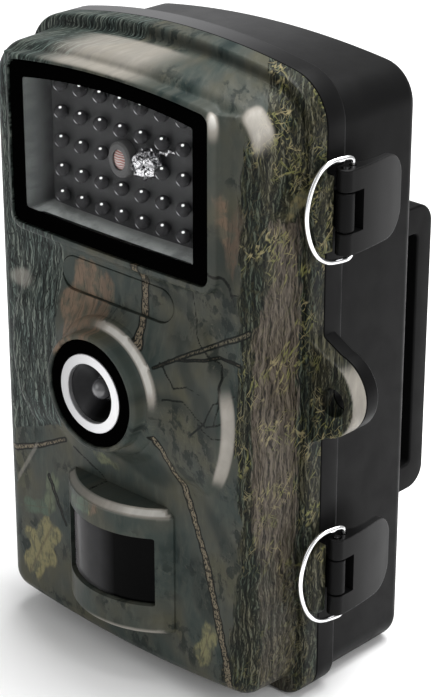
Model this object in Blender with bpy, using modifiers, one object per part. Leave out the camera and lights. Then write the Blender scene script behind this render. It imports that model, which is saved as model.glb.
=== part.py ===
"""Trail camera: a hinged two-shell case with over-centre latches, built piece by piece.

The frame: +X to the right of someone facing the lens, -Y towards the scene the lens
looks at, +Z up. The origin is on the flat underside, at the middle of the rear case.
Every helper takes millimetres, and measures y from the seam where the two shells
meet (negative in front of it), so that SEAM_Y is added in one place only.
"""
import math

import bmesh
import bpy
from mathutils import Matrix, Vector

MM = 0.001
SEAM_Y = -14.0              # the seam between the shells, in the part's own frame
GAP = 0.3                   # clearance kept between neighbouring pieces
HALF_GAP = 0.15

# Flanges, where front cover and rear case meet
FLANGE_HALF_WIDTH = 38.4
FLANGE_TOP = 134.7
FLANGE_SAG = 4.8            # how far the arched top falls from the middle to the side
FLANGE_TOP_RADIUS = 10.2
FLANGE_BOTTOM_RADIUS = 6.4
FRONT_FLANGE = 4.3          # thickness
REAR_FLANGE = 5.6

# Front body and rear box
FRONT_HALF_WIDTH = 36.0
FRONT_FACE = -17.6
FRONT_WALL = 2.2
REAR_HALF_WIDTH = 36.3
REAR_TOP = 130.0
REAR_FACE = 29.2
REAR_CAVITY_BACK = 25.6

# Infrared window, lens and motion sensor, down the middle of the front
IR_FACE = -20.2
LENS_Z = 64.8
LENS_FACE = -25.7
DISC_RADIUS = 29.8
DISC_FACE = -19.9
PIR_RADIUS = 20.4
PIR_APEX = -24.8
PIR_BOTTOM = 12.3
PIR_TOP = 41.0
PIR_HALF_WINDOW = 12.4
LED_PITCH_X = 5.7
LED_PITCH_Z = 5.8
LED_CENTRE_Z = 111.0
BADGE_Z = 84.9

# Hinge on the left, latches and padlock ears on the right
HINGE_X = -41.0
HINGE_RADIUS = 2.3
HINGE_HEIGHTS = {"upper": 104.0, "lower": 32.0}
LATCH_HEIGHTS = {"upper": 106.7, "lower": 29.2}
PIN_X = 41.9
PIN_Y = 1.3
PIN_RADIUS = 0.7
KNUCKLE_RADIUS = 1.8
LUG_HALF = 3.8              # half the height of the fixed barrel
LEVER_HALF = 8.5            # half the height of a lever
BAIL_X = 41.7               # where a bail's ends turn in the lever
BAIL_Y = 3.4
BAIL_LEAN = math.radians(-13.0)     # the closed bail leans in towards the case
BAIL_SHAPE = [(0.0, 6.6), (0.0, 8.9), (0.15, 9.6), (0.6, 9.95), (1.4, 10.1), (3.4, 10.08),
              (4.9, 9.9), (6.2, 9.4), (7.4, 8.5), (8.4, 7.2), (9.2, 5.6), (9.8, 3.8),
              (10.2, 1.9), (10.35, 0.0)]     # reach from the ends, half the height
WIRE_RADIUS = 0.5
EAR_Z = 69.8
EAR_HOLE_X = 44.3
EAR_HOLE_RADIUS = 3.0

# Strap bracket, tripod socket and batteries
BRACKET_HALF_WIDTH = 32.0
BRACKET_BACK = 40.6
BRACKET_BOTTOM = 32.0
BRACKET_TOP = 96.0
BRACKET_FOOT = 6.0
TRIPOD_Y = 8.0
PORT_X = 18.0
PORT_Y = 15.0
CELL_RADIUS = 7.1
CELL_PITCH = 14.8
CELL_Y = 16.5
CELL_BOTTOM = 39.3
CELL_TOP = 88.9


# ---------------------------------------------------------------- scene helpers

def clear_scene():
    for old in list(bpy.data.objects):
        bpy.data.objects.remove(old, do_unlink=True)


def new_collection(name):
    collection = bpy.data.collections.new(name)
    bpy.context.scene.collection.children.link(collection)
    return collection


def material(name, colour, roughness, metallic=0.0):
    made = bpy.data.materials.new(name)
    made.use_nodes = True
    shader = made.node_tree.nodes["Principled BSDF"]
    shader.inputs["Base Color"].default_value = (*colour, 1.0)
    shader.inputs["Roughness"].default_value = roughness
    shader.inputs["Metallic"].default_value = metallic
    return made


def add_mesh(name, bm, pivot=None):
    """Make an object from a bmesh given in millimetres, with its origin at the pivot."""
    pivot = Vector(pivot) if pivot else Vector((0.0, 0.0, 0.0))
    shift = Vector((0.0, SEAM_Y, 0.0))
    for vert in bm.verts:
        vert.co = (vert.co - pivot) * MM
    bmesh.ops.recalc_face_normals(bm, faces=bm.faces[:])
    mesh = bpy.data.meshes.new(name)
    bm.to_mesh(mesh)
    bm.free()
    made = bpy.data.objects.new(name, mesh)
    made.location = (pivot + shift) * MM
    PARTS.objects.link(made)
    return made


def smooth(piece, angle=30.0):
    piece.data.shade_smooth()
    piece.data.set_sharp_from_angle(angle=math.radians(angle))


def block(name, x, y, z, pivot=None):
    """A box between two coordinates along each axis."""
    bm = bmesh.new()
    bmesh.ops.create_cube(bm, size=1.0)
    low = Vector((x[0], y[0], z[0]))
    high = Vector((x[1], y[1], z[1]))
    centre = (low + high) / 2.0
    size = high - low
    for vert in bm.verts:
        vert.co = Vector((vert.co.x * size.x, vert.co.y * size.y, vert.co.z * size.z)) + centre
    return add_mesh(name, bm, pivot)


def cylinder(name, centre, radius, length, axis="Y", sides=24, top_radius=None):
    """A cylinder or cone centred on a point; top_radius is at the axis' positive end."""
    bm = bmesh.new()
    end_radius = radius if top_radius is None else top_radius
    bmesh.ops.create_cone(bm, cap_ends=True, segments=sides, radius1=radius,
                          radius2=end_radius, depth=length)
    turn = {"X": Matrix.Rotation(math.pi / 2.0, 4, "Y"),
            "Y": Matrix.Rotation(-math.pi / 2.0, 4, "X"),
            "Z": Matrix.Identity(4)}[axis]
    bmesh.ops.transform(bm, matrix=Matrix.Translation(centre) @ turn, verts=bm.verts[:])
    made = add_mesh(name, bm)
    smooth(made)
    return made


def prism(name, outline, axis, start, end, pivot=None):
    """A flat outline extruded along an axis, from a filled 2D curve.

    The outline is (x, z) along Y, (y, z) along X and (x, y) along Z.
    """
    curve = bpy.data.curves.new(name, "CURVE")
    curve.dimensions = "2D"
    curve.fill_mode = "BOTH"
    curve.extrude = (end - start) / 2.0
    spline = curve.splines.new("POLY")
    spline.points.add(len(outline) - 1)
    for point, (across, along) in zip(spline.points, outline):
        point.co = (across, along, 0.0, 1.0)
    spline.use_cyclic_u = True
    flat = bpy.data.objects.new(name + "_outline", curve)
    PARTS.objects.link(flat)
    bpy.context.view_layer.update()
    graph = bpy.context.evaluated_depsgraph_get()
    mesh = bpy.data.meshes.new_from_object(flat.evaluated_get(graph))
    bpy.data.objects.remove(flat, do_unlink=True)
    bpy.data.curves.remove(curve)
    middle = (start + end) / 2.0
    turn = {"Z": Matrix.Identity(4),
            "Y": Matrix.Rotation(math.pi / 2.0, 4, "X"),
            "X": Matrix.Rotation(math.pi / 2.0, 4, "Z") @ Matrix.Rotation(math.pi / 2.0, 4, "X")}
    offset = {"X": (middle, 0, 0), "Y": (0, middle, 0), "Z": (0, 0, middle)}[axis]
    bm = bmesh.new()
    bm.from_mesh(mesh)
    bpy.data.meshes.remove(mesh)
    bmesh.ops.remove_doubles(bm, verts=bm.verts[:], dist=0.0001)
    bmesh.ops.dissolve_limit(bm, angle_limit=math.radians(0.2), verts=bm.verts[:],
                             edges=bm.edges[:])
    bmesh.ops.transform(bm, matrix=Matrix.Translation(offset) @ turn[axis], verts=bm.verts[:])
    return add_mesh(name, bm, pivot)


def turned(name, profile, centre_z, steps=32, centre_x=0.0):
    """A solid turned about a line along Y; the profile is (radius, y), front to back outside."""
    mesh = bpy.data.meshes.new(name)
    bm = bmesh.new()
    verts = [bm.verts.new((radius * MM, 0.0, -depth * MM)) for radius, depth in profile]
    for first, second in zip(verts, verts[1:]):
        bm.edges.new((first, second))
    if profile[0][0] > 0.0:
        bm.edges.new((verts[-1], verts[0]))
    bm.to_mesh(mesh)
    bm.free()
    made = bpy.data.objects.new(name, mesh)
    made.rotation_euler = (math.pi / 2.0, 0.0, 0.0)
    made.location = (centre_x * MM, SEAM_Y * MM, centre_z * MM)
    PARTS.objects.link(made)
    screw = made.modifiers.new("turn", "SCREW")
    screw.axis = "Z"
    screw.steps = steps
    screw.render_steps = steps
    screw.use_merge_vertices = True
    screw.merge_threshold = 0.00001
    screw.use_smooth_shade = True
    return made


def turned_upright(name, centre, profile, steps=24):
    """A solid turned about a vertical line; the profile is (radius, z), top to bottom."""
    mesh = bpy.data.meshes.new(name)
    bm = bmesh.new()
    verts = [bm.verts.new((radius * MM, 0.0, height * MM)) for radius, height in profile]
    for first, second in zip(verts, verts[1:]):
        bm.edges.new((first, second))
    if profile[0][0] > 0.0:
        bm.edges.new((verts[-1], verts[0]))
    bm.to_mesh(mesh)
    bm.free()
    made = bpy.data.objects.new(name, mesh)
    made.location = (centre[0] * MM, (centre[1] + SEAM_Y) * MM, 0.0)
    PARTS.objects.link(made)
    screw = made.modifiers.new("turn", "SCREW")
    screw.axis = "Z"
    screw.steps = steps
    screw.render_steps = steps
    screw.use_merge_vertices = True
    screw.merge_threshold = 0.00001
    screw.use_smooth_shade = True
    return made


def round_edges(piece, width, segments=3, chosen=None, angle=30.0):
    """Bevel the edges that the test picks by their two end points, or all the sharp ones."""
    bevel = piece.modifiers.new("rounded_edges", "BEVEL")
    bevel.width = width * MM
    bevel.segments = segments
    bevel.use_clamp_overlap = False
    if chosen is None:
        bevel.limit_method = "ANGLE"
        bevel.angle_limit = math.radians(angle)
        return
    bevel.limit_method = "WEIGHT"
    weights = piece.data.attributes.new("bevel_weight_edge", "FLOAT", "EDGE")
    place = piece.matrix_basis
    points = [(place @ vert.co) / MM for vert in piece.data.vertices]
    for edge in piece.data.edges:
        ends = [points[index] - Vector((0.0, SEAM_Y, 0.0)) for index in edge.vertices]
        weights.data[edge.index].value = 1.0 if all(chosen(end) for end in ends) else 0.0


def combine(target, other, operation):
    """Boolean one piece with another, which becomes a hidden guide."""
    PARTS.objects.unlink(other)
    CUTTERS.objects.link(other)
    other.hide_render = True
    other.display_type = "WIRE"
    boolean = target.modifiers.new(other.name, "BOOLEAN")
    boolean.operation = operation
    boolean.solver = "EXACT"
    boolean.object = other


def cut(target, *others):
    for other in others:
        combine(target, other, "DIFFERENCE")


def join(target, *others):
    for other in others:
        combine(target, other, "UNION")


def wire(name, points, radius, pivot):
    """A bent wire with closed ends."""
    curve = bpy.data.curves.new(name, "CURVE")
    curve.dimensions = "3D"
    curve.bevel_depth = radius * MM
    curve.bevel_resolution = 2
    curve.use_fill_caps = True
    spline = curve.splines.new("POLY")
    spline.points.add(len(points) - 1)
    for point, place in zip(spline.points, points):
        point.co = (*((Vector(place) - Vector(pivot)) * MM), 1.0)
    made = bpy.data.objects.new(name, curve)
    made.location = (Vector(pivot) + Vector((0.0, SEAM_Y, 0.0))) * MM
    PARTS.objects.link(made)
    return made


def finish_piece(piece, look):
    piece.data.materials.clear()
    piece.data.materials.append(LOOKS[look])


# ---------------------------------------------------------------- outlines

def corner(centre_x, centre_z, radius, start, end, steps=4):
    """Points round a corner, angles in degrees."""
    angles = [math.radians(start + (end - start) * step / steps) for step in range(steps + 1)]
    return [(centre_x + radius * math.cos(a), centre_z + radius * math.sin(a)) for a in angles]


def half_arch(half_width, crown, sag, radius, arch_steps=5):
    """The right half of an arched top with a round corner, from the middle to the side."""
    if sag == 0.0:
        return [(0.0, crown)] + corner(half_width - radius, crown - radius, radius, 90.0, 0.0)
    arch_radius = (half_width ** 2 + sag ** 2) / (2.0 * sag)
    centre = crown - arch_radius
    reach = half_width - radius
    corner_z = centre + math.sqrt((arch_radius - radius) ** 2 - reach ** 2)
    meet = math.degrees(math.atan2(corner_z - centre, reach))
    arch = corner(0.0, centre, arch_radius, 90.0, meet, arch_steps)
    return arch[:-1] + corner(reach, corner_z, radius, meet, 0.0)


def case_outline(half_width, bottom, top, sag, top_radius, bottom_radius, bottom_sag=0.0,
                 arch_steps=5):
    """A case shape: arched top, straight sides, flat or gently arched underside."""
    upper = half_arch(half_width, top, sag, top_radius, arch_steps)
    lower = half_arch(half_width, -bottom, bottom_sag, bottom_radius, arch_steps)
    right = upper + [(x, -z) for x, z in reversed(lower)]
    left = [(-x, z) for x, z in reversed(right) if x > 0.0]
    return right + left


def flange_outline(inset=0.0):
    return case_outline(FLANGE_HALF_WIDTH - inset, inset, FLANGE_TOP - inset, FLANGE_SAG,
                        FLANGE_TOP_RADIUS - inset, FLANGE_BOTTOM_RADIUS - inset)


def front_outline(inset=0.0):
    return case_outline(FRONT_HALF_WIDTH - inset, 2.3 + inset, 131.8 - inset, 4.0,
                        8.5 - inset, 5.0 - inset, 2.2)


def rear_outline(inset=0.0, bottom=0.0):
    return case_outline(REAR_HALF_WIDTH - inset, bottom, REAR_TOP - inset, 3.05,
                        8.1 - inset, 6.4 - inset)


def window_outline(half_width, bottom, top, radius=1.6):
    return case_outline(half_width, bottom, top, 1.9, radius, radius, 0.4, 4)


def pill_outline(half_width, half_height, centre_z):
    reach = half_width - half_height
    return (corner(reach, centre_z, half_height, -90.0, 90.0, 6)
            + corner(-reach, centre_z, half_height, 90.0, 270.0, 6))


def box_outline(x, z, radius=0.0):
    if radius == 0.0:
        return [(x[0], z[0]), (x[1], z[0]), (x[1], z[1]), (x[0], z[1])]
    low_x, high_x = x[0] + radius, x[1] - radius
    low_z, high_z = z[0] + radius, z[1] - radius
    return (corner(low_x, low_z, radius, 180.0, 270.0, 3)
            + corner(high_x, low_z, radius, 270.0, 360.0, 3)
            + corner(high_x, high_z, radius, 0.0, 90.0, 3)
            + corner(low_x, high_z, radius, 90.0, 180.0, 3))


def sensor_arc(radius, half_width, steps=12):
    """Points (x, y) along the motion sensor's curved front, from left to right."""
    centre_y = PIR_APEX + PIR_RADIUS
    limit = math.asin(half_width / radius)
    angles = [limit * (2.0 * step / steps - 1.0) for step in range(steps + 1)]
    return [(radius * math.sin(a), centre_y - radius * math.cos(a)) for a in angles]


def ear_outline():
    return [(36.6, 81.6)] + corner(41.2, EAR_Z, 8.4, 78.0, -78.0, 12) + [(36.6, 58.0)]


# ---------------------------------------------------------------- front cover

def hook(name, height):
    """The tab that a bail closes over, tapered in front so that the bail slides off it."""
    nose = [(-3.9, 7.1), (-4.5, 6.2), (-5.0, 5.0), (-5.4, 3.8), (-5.7, 2.0)]
    side = ([(-0.6, height + 7.0), (-3.0, height + 7.5)]
            + [(y, height + half) for y, half in nose]
            + [(y, height - half) for y, half in reversed(nose)]
            + [(-3.0, height - 7.8), (-0.6, height - 8.0)])
    piece = prism(name, side, "X", 34.5, 40.9)
    ramp = prism(name + "_ramp", [(41.0, -4.4), (39.5, -5.8), (39.5, -7.0), (42.0, -7.0),
                                  (42.0, -4.4)], "Z", height - 9.0, height + 9.0)
    cut(piece, ramp)
    return piece


def lens_turret():
    """The stepped ring that carries the lens trim."""
    return turned("lens_turret", [(11.4, -25.9), (12.0, -25.9), (12.3, -25.5), (12.3, -22.6),
                                  (13.2, -22.4), (14.6, -21.2), (14.6, -15.9), (8.6, -15.9),
                                  (8.6, -24.3), (11.4, -24.3)], LENS_Z)


def raised_disc():
    """The round plateau about the lens, cut level above and below."""
    reach = math.degrees(math.asin(19.5 / DISC_RADIUS))
    outline = (corner(0.0, LENS_Z, DISC_RADIUS, -reach, reach, 8)
               + corner(0.0, LENS_Z, DISC_RADIUS, 180.0 - reach, 180.0 + reach, 8))
    disc = prism("raised_disc", outline, "Y", DISC_FACE, FRONT_FACE + 1.0)
    round_edges(disc, 1.5, 1, lambda point: point.y < DISC_FACE + 0.1)
    return disc


def sensor_hood():
    side = math.sqrt(PIR_RADIUS ** 2 - (PIR_APEX + PIR_RADIUS - FRONT_FACE) ** 2)
    outline = sensor_arc(PIR_RADIUS, side) + [(side, -16.0), (-side, -16.0)]
    hood = prism("sensor_hood", outline, "Z", PIR_BOTTOM, PIR_TOP)
    round_edges(hood, 0.9, 1,
                lambda point: point.z > PIR_TOP - 0.1 and point.y < FRONT_FACE + 0.1)
    return hood


def sensor_hollow():
    outline = sensor_arc(PIR_RADIUS - 2.2, 14.0) + [(14.0, -14.0), (-14.0, -14.0)]
    return prism("sensor_hollow", outline, "Z", PIR_BOTTOM + 2.2, PIR_TOP - 2.2)


def door_knuckle(name, height):
    knuckle = cylinder(name, (HINGE_X, 0.0, height), HINGE_RADIUS, 5.8, "Z", 20)
    leaf = block(name + "_leaf", (HINGE_X, -37.0), (-2.2, -HALF_GAP),
                 (height - 2.9, height + 2.9))
    join(knuckle, leaf)
    bore = cylinder(name + "_bore", (HINGE_X, 0.0, height), 1.3, 8.0, "Z", 20)
    cut(knuckle, bore)
    return knuckle


PANEL_SCREWS = {"left_lower": (-31.6, 22.0), "left_upper": (-31.6, 84.0),
                "right_lower": (31.6, 22.0), "right_upper": (31.6, 84.0)}


def front_cover():
    cover = prism("front_cover", flange_outline(), "Y", -FRONT_FLANGE, -HALF_GAP)
    round_edges(cover, 0.8, 2, lambda point: point.y < -FRONT_FLANGE + 0.1)
    body = prism("front_body", front_outline(), "Y", FRONT_FACE, -2.0)
    round_edges(body, 4.0, 4, lambda point: point.y < FRONT_FACE + 0.1)
    bezel = prism("window_bezel", window_outline(28.4, 91.0, 129.5, 3.5), "Y", -20.4, -16.0)
    round_edges(bezel, 0.9, 2, lambda point: point.y < -20.3)
    join(cover, body, bezel, raised_disc(), lens_turret(), sensor_hood())
    for name, height in LATCH_HEIGHTS.items():
        join(cover, hook(name + "_hook", height))
    for name, height in HINGE_HEIGHTS.items():
        join(cover, door_knuckle(name + "_door_knuckle", height))
    ear = prism("padlock_ear", ear_outline(), "Y", -4.0, -HALF_GAP)
    join(cover, ear)
    cut(cover,
        prism("front_cavity", front_outline(FRONT_WALL), "Y", FRONT_FACE + FRONT_WALL, 1.0),
        prism("window_seat", window_outline(27.1, 92.7, 128.6), "Y", -22.0, -18.5),
        prism("window_hole", window_outline(24.6, 95.0, 127.0), "Y", -19.0, -10.0),
        cylinder("lens_bore", (0.0, -18.0, LENS_Z), 9.2, 14.0, "Y", 32),
        sensor_hollow(),
        prism("sensor_opening", box_outline((-PIR_HALF_WINDOW, PIR_HALF_WINDOW),
                                            (19.2, 34.8), 0.6), "Y", -28.0, -16.5),
        prism("badge_recess", pill_outline(15.7, 3.6, BADGE_Z), "Y", -19.0, -16.6),
        cylinder("ear_hole", (EAR_HOLE_X, -2.0, EAR_Z), EAR_HOLE_RADIUS, 8.0, "Y", 24))
    for name, (x, z) in PANEL_SCREWS.items():
        join(cover, cylinder(name + "_post", (x, -9.9, z), 2.4, 12.2, "Y", 12))
        cut(cover, cylinder(name + "_post_bore", (x, -7.0, z), 1.0, 8.0, "Y", 12))
    finish_piece(cover, "camouflage")


def infrared_unit():
    window = prism("ir_window", window_outline(26.8, 93.0, 128.3, 1.4), "Y", IR_FACE, -18.8)
    finish_piece(window, "clear_plastic")
    tray = prism("ir_tray", window_outline(24.3, 95.3, 126.7), "Y", -18.4, -14.6)
    cut(tray, prism("tray_inside", window_outline(23.3, 96.3, 125.7, 1.0), "Y", -20.0, -13.0))
    finish_piece(tray, "grey_plastic")
    board = prism("ir_led_board", box_outline((-25.4, 25.4), (94.4, 127.4), 1.0),
                  "Y", -14.3, -12.8)
    for row in range(-2, 3):
        for column in range(-3, 4):
            if row == 0 and column in (0, 1):
                continue
            join(board, led("led_%d_%d" % (row + 3, column + 4), column * LED_PITCH_X,
                            LED_CENTRE_Z + row * LED_PITCH_Z))
    finish_piece(board, "circuit_board")
    cell = turned("photocell", [(0.0, -16.6), (1.2, -16.6), (1.5, -16.2), (2.1, -15.9),
                                (2.1, -14.6), (0.0, -14.6)], LED_CENTRE_Z, 16)
    finish_piece(cell, "photocell_amber")
    head = turned("board_screw", [(0.0, -16.4), (1.4, -16.2), (2.1, -15.6), (2.1, -14.6),
                                  (0.0, -14.6)], LED_CENTRE_Z, 12, LED_PITCH_X)
    finish_piece(head, "bright_steel")


def led(name, x, z):
    """A round-nosed emitter standing on the board."""
    return turned(name, [(0.0, -17.6), (0.9, -17.3), (1.4, -16.5), (1.5, -15.6),
                         (1.5, -14.0), (0.0, -14.0)], z, 8, x)


def lens_unit():
    bezel = turned("lens_bezel", [(8.75, LENS_FACE), (10.9, LENS_FACE), (11.1, -25.5),
                                  (11.1, -24.6), (8.75, -24.6)], LENS_Z)
    finish_piece(bezel, "gloss_black")
    ring = turned("lens_trim_ring", [(6.2, LENS_FACE - 0.1), (8.25, LENS_FACE - 0.1),
                                     (8.45, LENS_FACE + 0.1), (8.45, -24.8),
                                     (6.2, -24.8)], LENS_Z)
    finish_piece(ring, "satin_silver")
    hood = turned("lens_hood", [(6.1, -24.5), (8.9, -24.5), (8.9, -17.0), (3.1, -17.0),
                                (3.1, -21.0)], LENS_Z)
    finish_piece(hood, "satin_black")
    glass = turned("lens_glass", [(0.0, -23.0), (0.9, -22.85), (1.8, -22.3), (2.5, -21.5),
                                  (2.75, -20.6), (2.75, -20.0), (0.0, -20.0)], LENS_Z, 24)
    finish_piece(glass, "glass")
    barrel = turned("lens_barrel", [(0.0, -19.7), (2.7, -19.7), (2.7, -16.7), (5.2, -16.7),
                                    (5.2, -10.6), (0.0, -10.6)], LENS_Z, 24)
    finish_piece(barrel, "satin_black")
    board = block("sensor_board", (-9.0, 9.0), (-10.3, -8.9), (55.8, 73.8))
    finish_piece(board, "circuit_board")


def motion_sensor():
    inner = PIR_RADIUS - 3.4
    lens = prism("pir_window", sensor_arc(PIR_RADIUS - 0.9, 12.1)
                 + list(reversed(sensor_arc(inner, 12.1))), "Z", 19.5, 34.5)
    rim = prism("pir_rim", sensor_arc(PIR_RADIUS - 2.5, 13.4)
                + list(reversed(sensor_arc(inner, 13.4))), "Z", 17.5, 36.5)
    join(lens, rim)
    finish_piece(lens, "gloss_black")
    can = turned("pir_sensor", [(0.0, -13.6), (3.9, -13.6), (4.1, -13.3), (4.1, -9.2),
                                (4.7, -9.2), (4.7, -8.4), (0.0, -8.4)], 27.0, 24)
    finish_piece(can, "bright_steel")


def badge():
    plate = prism("indicator_cover", pill_outline(15.4, 3.3, BADGE_Z), "Y", FRONT_FACE, -16.9)
    finish_piece(plate, "camouflage")


# ---------------------------------------------------------------- inside of the door

BUTTONS = {"up_button": (0.0, 72.5), "down_button": (0.0, 51.5), "left_button": (-11.5, 62.0),
           "right_button": (11.5, 62.0), "ok_button": (0.0, 62.0), "menu_button": (-22.0, 74.0)}
BUTTON_RADIUS = 3.2
SCREEN_Z = (86.5, 119.5)
SWITCH_Z = 36.0
CARD_X = (15.0, 26.0)
CARD_Z = (37.5, 38.5)


def door_panel():
    panel = prism("door_panel", front_outline(FRONT_WALL + 0.4), "Y", -3.4, -1.6)
    cut(panel, prism("screen_hole", box_outline((-22.4, 22.4), SCREEN_Z, 1.0), "Y", -5.0, 0.0))
    for name, (x, z) in BUTTONS.items():
        cut(panel, cylinder(name + "_hole", (x, -2.5, z), BUTTON_RADIUS + 0.35, 4.0, "Y", 16))
    cut(panel, prism("switch_slot", box_outline((-7.0, 7.0), (SWITCH_Z - 2.4, SWITCH_Z + 2.4),
                                                0.8), "Y", -5.0, 0.0),
        block("card_slot", (CARD_X[0] - 0.4, CARD_X[1] + 0.4), (-5.0, 0.0),
              (CARD_Z[0] - 0.4, CARD_Z[1] + 0.4)))
    for step in range(-2, 3):
        cut(panel, prism("speaker_slot_%d" % (step + 3),
                         box_outline((-25.0, -13.0), (18.0 + 2.4 * step - 0.6,
                                                      18.0 + 2.4 * step + 0.6)), "Y", -5.0, 0.0))
    for name, (x, z) in PANEL_SCREWS.items():
        cut(panel, cylinder(name + "_hole", (x, -2.5, z), 1.45, 4.0, "Y", 16))
        screw = cylinder("panel_screw_" + name, (x, -4.4, z), 0.7, 5.8, "Y", 12)
        head = cylinder(name + "_head", (x, -0.8, z), 1.9, 1.0, "Y", 16, 1.5)
        neck = cylinder(name + "_neck", (x, -1.6, z), 0.95, 1.0, "Y", 12)
        join(screw, head, neck)
        finish_piece(screw, "bright_steel")
    finish_piece(panel, "satin_black")


def display_and_boards():
    screen = block("lcd_screen", (-22.0, 22.0), (-5.2, -1.4), (SCREEN_Z[0] + 0.4,
                                                              SCREEN_Z[1] - 0.4))
    finish_piece(screen, "gloss_black")
    board = prism("main_board", box_outline((-28.6, 28.6), (8.0, 123.0), 2.0), "Y", -8.0, -6.4)
    cut(board, block("card_notch", (CARD_X[0] - 2.4, CARD_X[1] + 2.4), (-9.0, -5.0),
                     (CARD_Z[0] - 2.4, CARD_Z[1] + 2.4)))
    finish_piece(board, "circuit_board")
    speaker = turned("speaker", [(0.0, -5.9), (5.0, -5.9), (7.0, -5.2), (7.0, -3.8),
                                 (0.0, -3.8)], 18.0, 24, -19.0)
    finish_piece(speaker, "satin_black")
    socket = block("card_socket", (CARD_X[0] - 2.0, CARD_X[1] + 2.0), (-15.0, -3.8),
                   (CARD_Z[0] - 2.0, CARD_Z[1] + 2.0))
    cut(socket, block("socket_slot", (CARD_X[0] - 0.4, CARD_X[1] + 0.4), (-14.4, 0.0),
                      (CARD_Z[0] - 0.4, CARD_Z[1] + 0.4)))
    finish_piece(socket, "bright_steel")
    card = block("memory_card", CARD_X, (-14.0, -0.4), CARD_Z, (20.5, -0.4, 38.0))
    finish_piece(card, "satin_black")


def controls():
    for name, (x, z) in BUTTONS.items():
        cap = turned(name, [(0.0, -5.6), (4.1, -5.6), (4.1, -3.9), (BUTTON_RADIUS, -3.9),
                            (BUTTON_RADIUS, -1.2), (2.8, -0.8), (0.0, -0.8)], z, 16, x)
        finish_piece(cap, "grey_plastic")
    knob = block("power_switch", (-6.0, -1.0), (-3.9, -0.7), (SWITCH_Z - 1.9, SWITCH_Z + 1.9),
                 (-3.5, -2.0, SWITCH_Z))
    base = block("switch_base", (-10.0, 3.0), (-5.4, -3.8), (SWITCH_Z - 3.4, SWITCH_Z + 3.4))
    join(knob, base)
    finish_piece(knob, "grey_plastic")


# ---------------------------------------------------------------- rear case

def case_knuckles(case, name, height):
    for side in (-1.0, 1.0):
        middle = height + side * 6.1
        barrel = cylinder("%s_case_knuckle_%d" % (name, side > 0), (HINGE_X, 0.0, middle),
                          HINGE_RADIUS, 5.8, "Z", 20)
        leaf = block(barrel.name + "_leaf", (HINGE_X, -37.0), (HALF_GAP, 2.2),
                     (middle - 2.9, middle + 2.9))
        join(barrel, leaf)
        join(case, barrel)
    cut(case, cylinder(name + "_hinge_bore", (HINGE_X, 0.0, height), 1.3, 20.0, "Z", 20))


def latch_lug(case, name, height):
    """The fixed barrel that carries a latch pin, on its arm."""
    arm = block(name + "_lug_arm", (35.5, PIN_X), (PIN_Y - 0.3, PIN_Y + KNUCKLE_RADIUS - 0.15),
                (height - LUG_HALF + 0.1, height + LUG_HALF - 0.1))
    barrel = cylinder(name + "_lug", (PIN_X, PIN_Y, height), KNUCKLE_RADIUS, 2.0 * LUG_HALF,
                      "Z", 20)
    join(arm, barrel)
    join(case, arm)
    cut(case, cylinder(name + "_lug_bore", (PIN_X, PIN_Y, height), PIN_RADIUS + GAP, 14.0,
                       "Z", 16))


BRACKET_SCREWS = {"left_lower": (-26.0, 35.0), "left_upper": (-26.0, 93.0),
                  "right_lower": (26.0, 35.0), "right_upper": (26.0, 93.0)}


def rear_case():
    case = prism("rear_case", flange_outline(), "Y", HALF_GAP, REAR_FLANGE)
    round_edges(case, 0.8, 2, lambda point: point.y > REAR_FLANGE - 0.1 and point.z > 4.0)
    box = prism("rear_box", rear_outline(), "Y", 3.0, REAR_FACE)
    round_edges(box, 2.6, 3, lambda point: point.y > REAR_FACE - 0.1)
    join(case, box)
    ear = prism("rear_padlock_ear", ear_outline(), "Y", HALF_GAP, 3.6)
    join(case, ear)
    for name, height in LATCH_HEIGHTS.items():
        latch_lug(case, name, height)
    for name, height in HINGE_HEIGHTS.items():
        case_knuckles(case, name, height)
    cut(case, prism("rear_cavity", rear_outline(2.3, 4.6), "Y", -1.0, REAR_CAVITY_BACK))
    groove = prism("gasket_groove", flange_outline(1.4), "Y", -1.0, 2.3)
    cut(groove, prism("groove_inside", flange_outline(3.2), "Y", -2.0, 4.0))
    cut(case, groove)
    join(case, cylinder("tripod_boss", (0.0, TRIPOD_Y, 7.0), 6.4, 7.0, "Z", 24))
    cut(case,
        cylinder("tripod_bore", (0.0, TRIPOD_Y, 4.0), 4.9, 10.6, "Z", 24),
        cylinder("port_recess", (PORT_X, PORT_Y, 0.5), 5.6, 3.0, "Z", 24),
        cylinder("port_bore", (PORT_X, PORT_Y, 3.0), 4.0, 8.0, "Z", 24),
        cylinder("rear_ear_hole", (EAR_HOLE_X, 2.0, EAR_Z), EAR_HOLE_RADIUS, 8.0, "Y", 24))
    for name, (x, z) in BRACKET_SCREWS.items():
        cut(case, cylinder(name + "_screw_bore", (x, 28.3, z), 1.4, 3.8, "Y", 12))
    finish_piece(case, "satin_black")


def seal():
    ring = prism("gasket", flange_outline(1.7), "Y", HALF_GAP, 2.0)
    cut(ring, prism("gasket_inside", flange_outline(2.9), "Y", -1.0, 4.0))
    finish_piece(ring, "seal_rubber")


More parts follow.
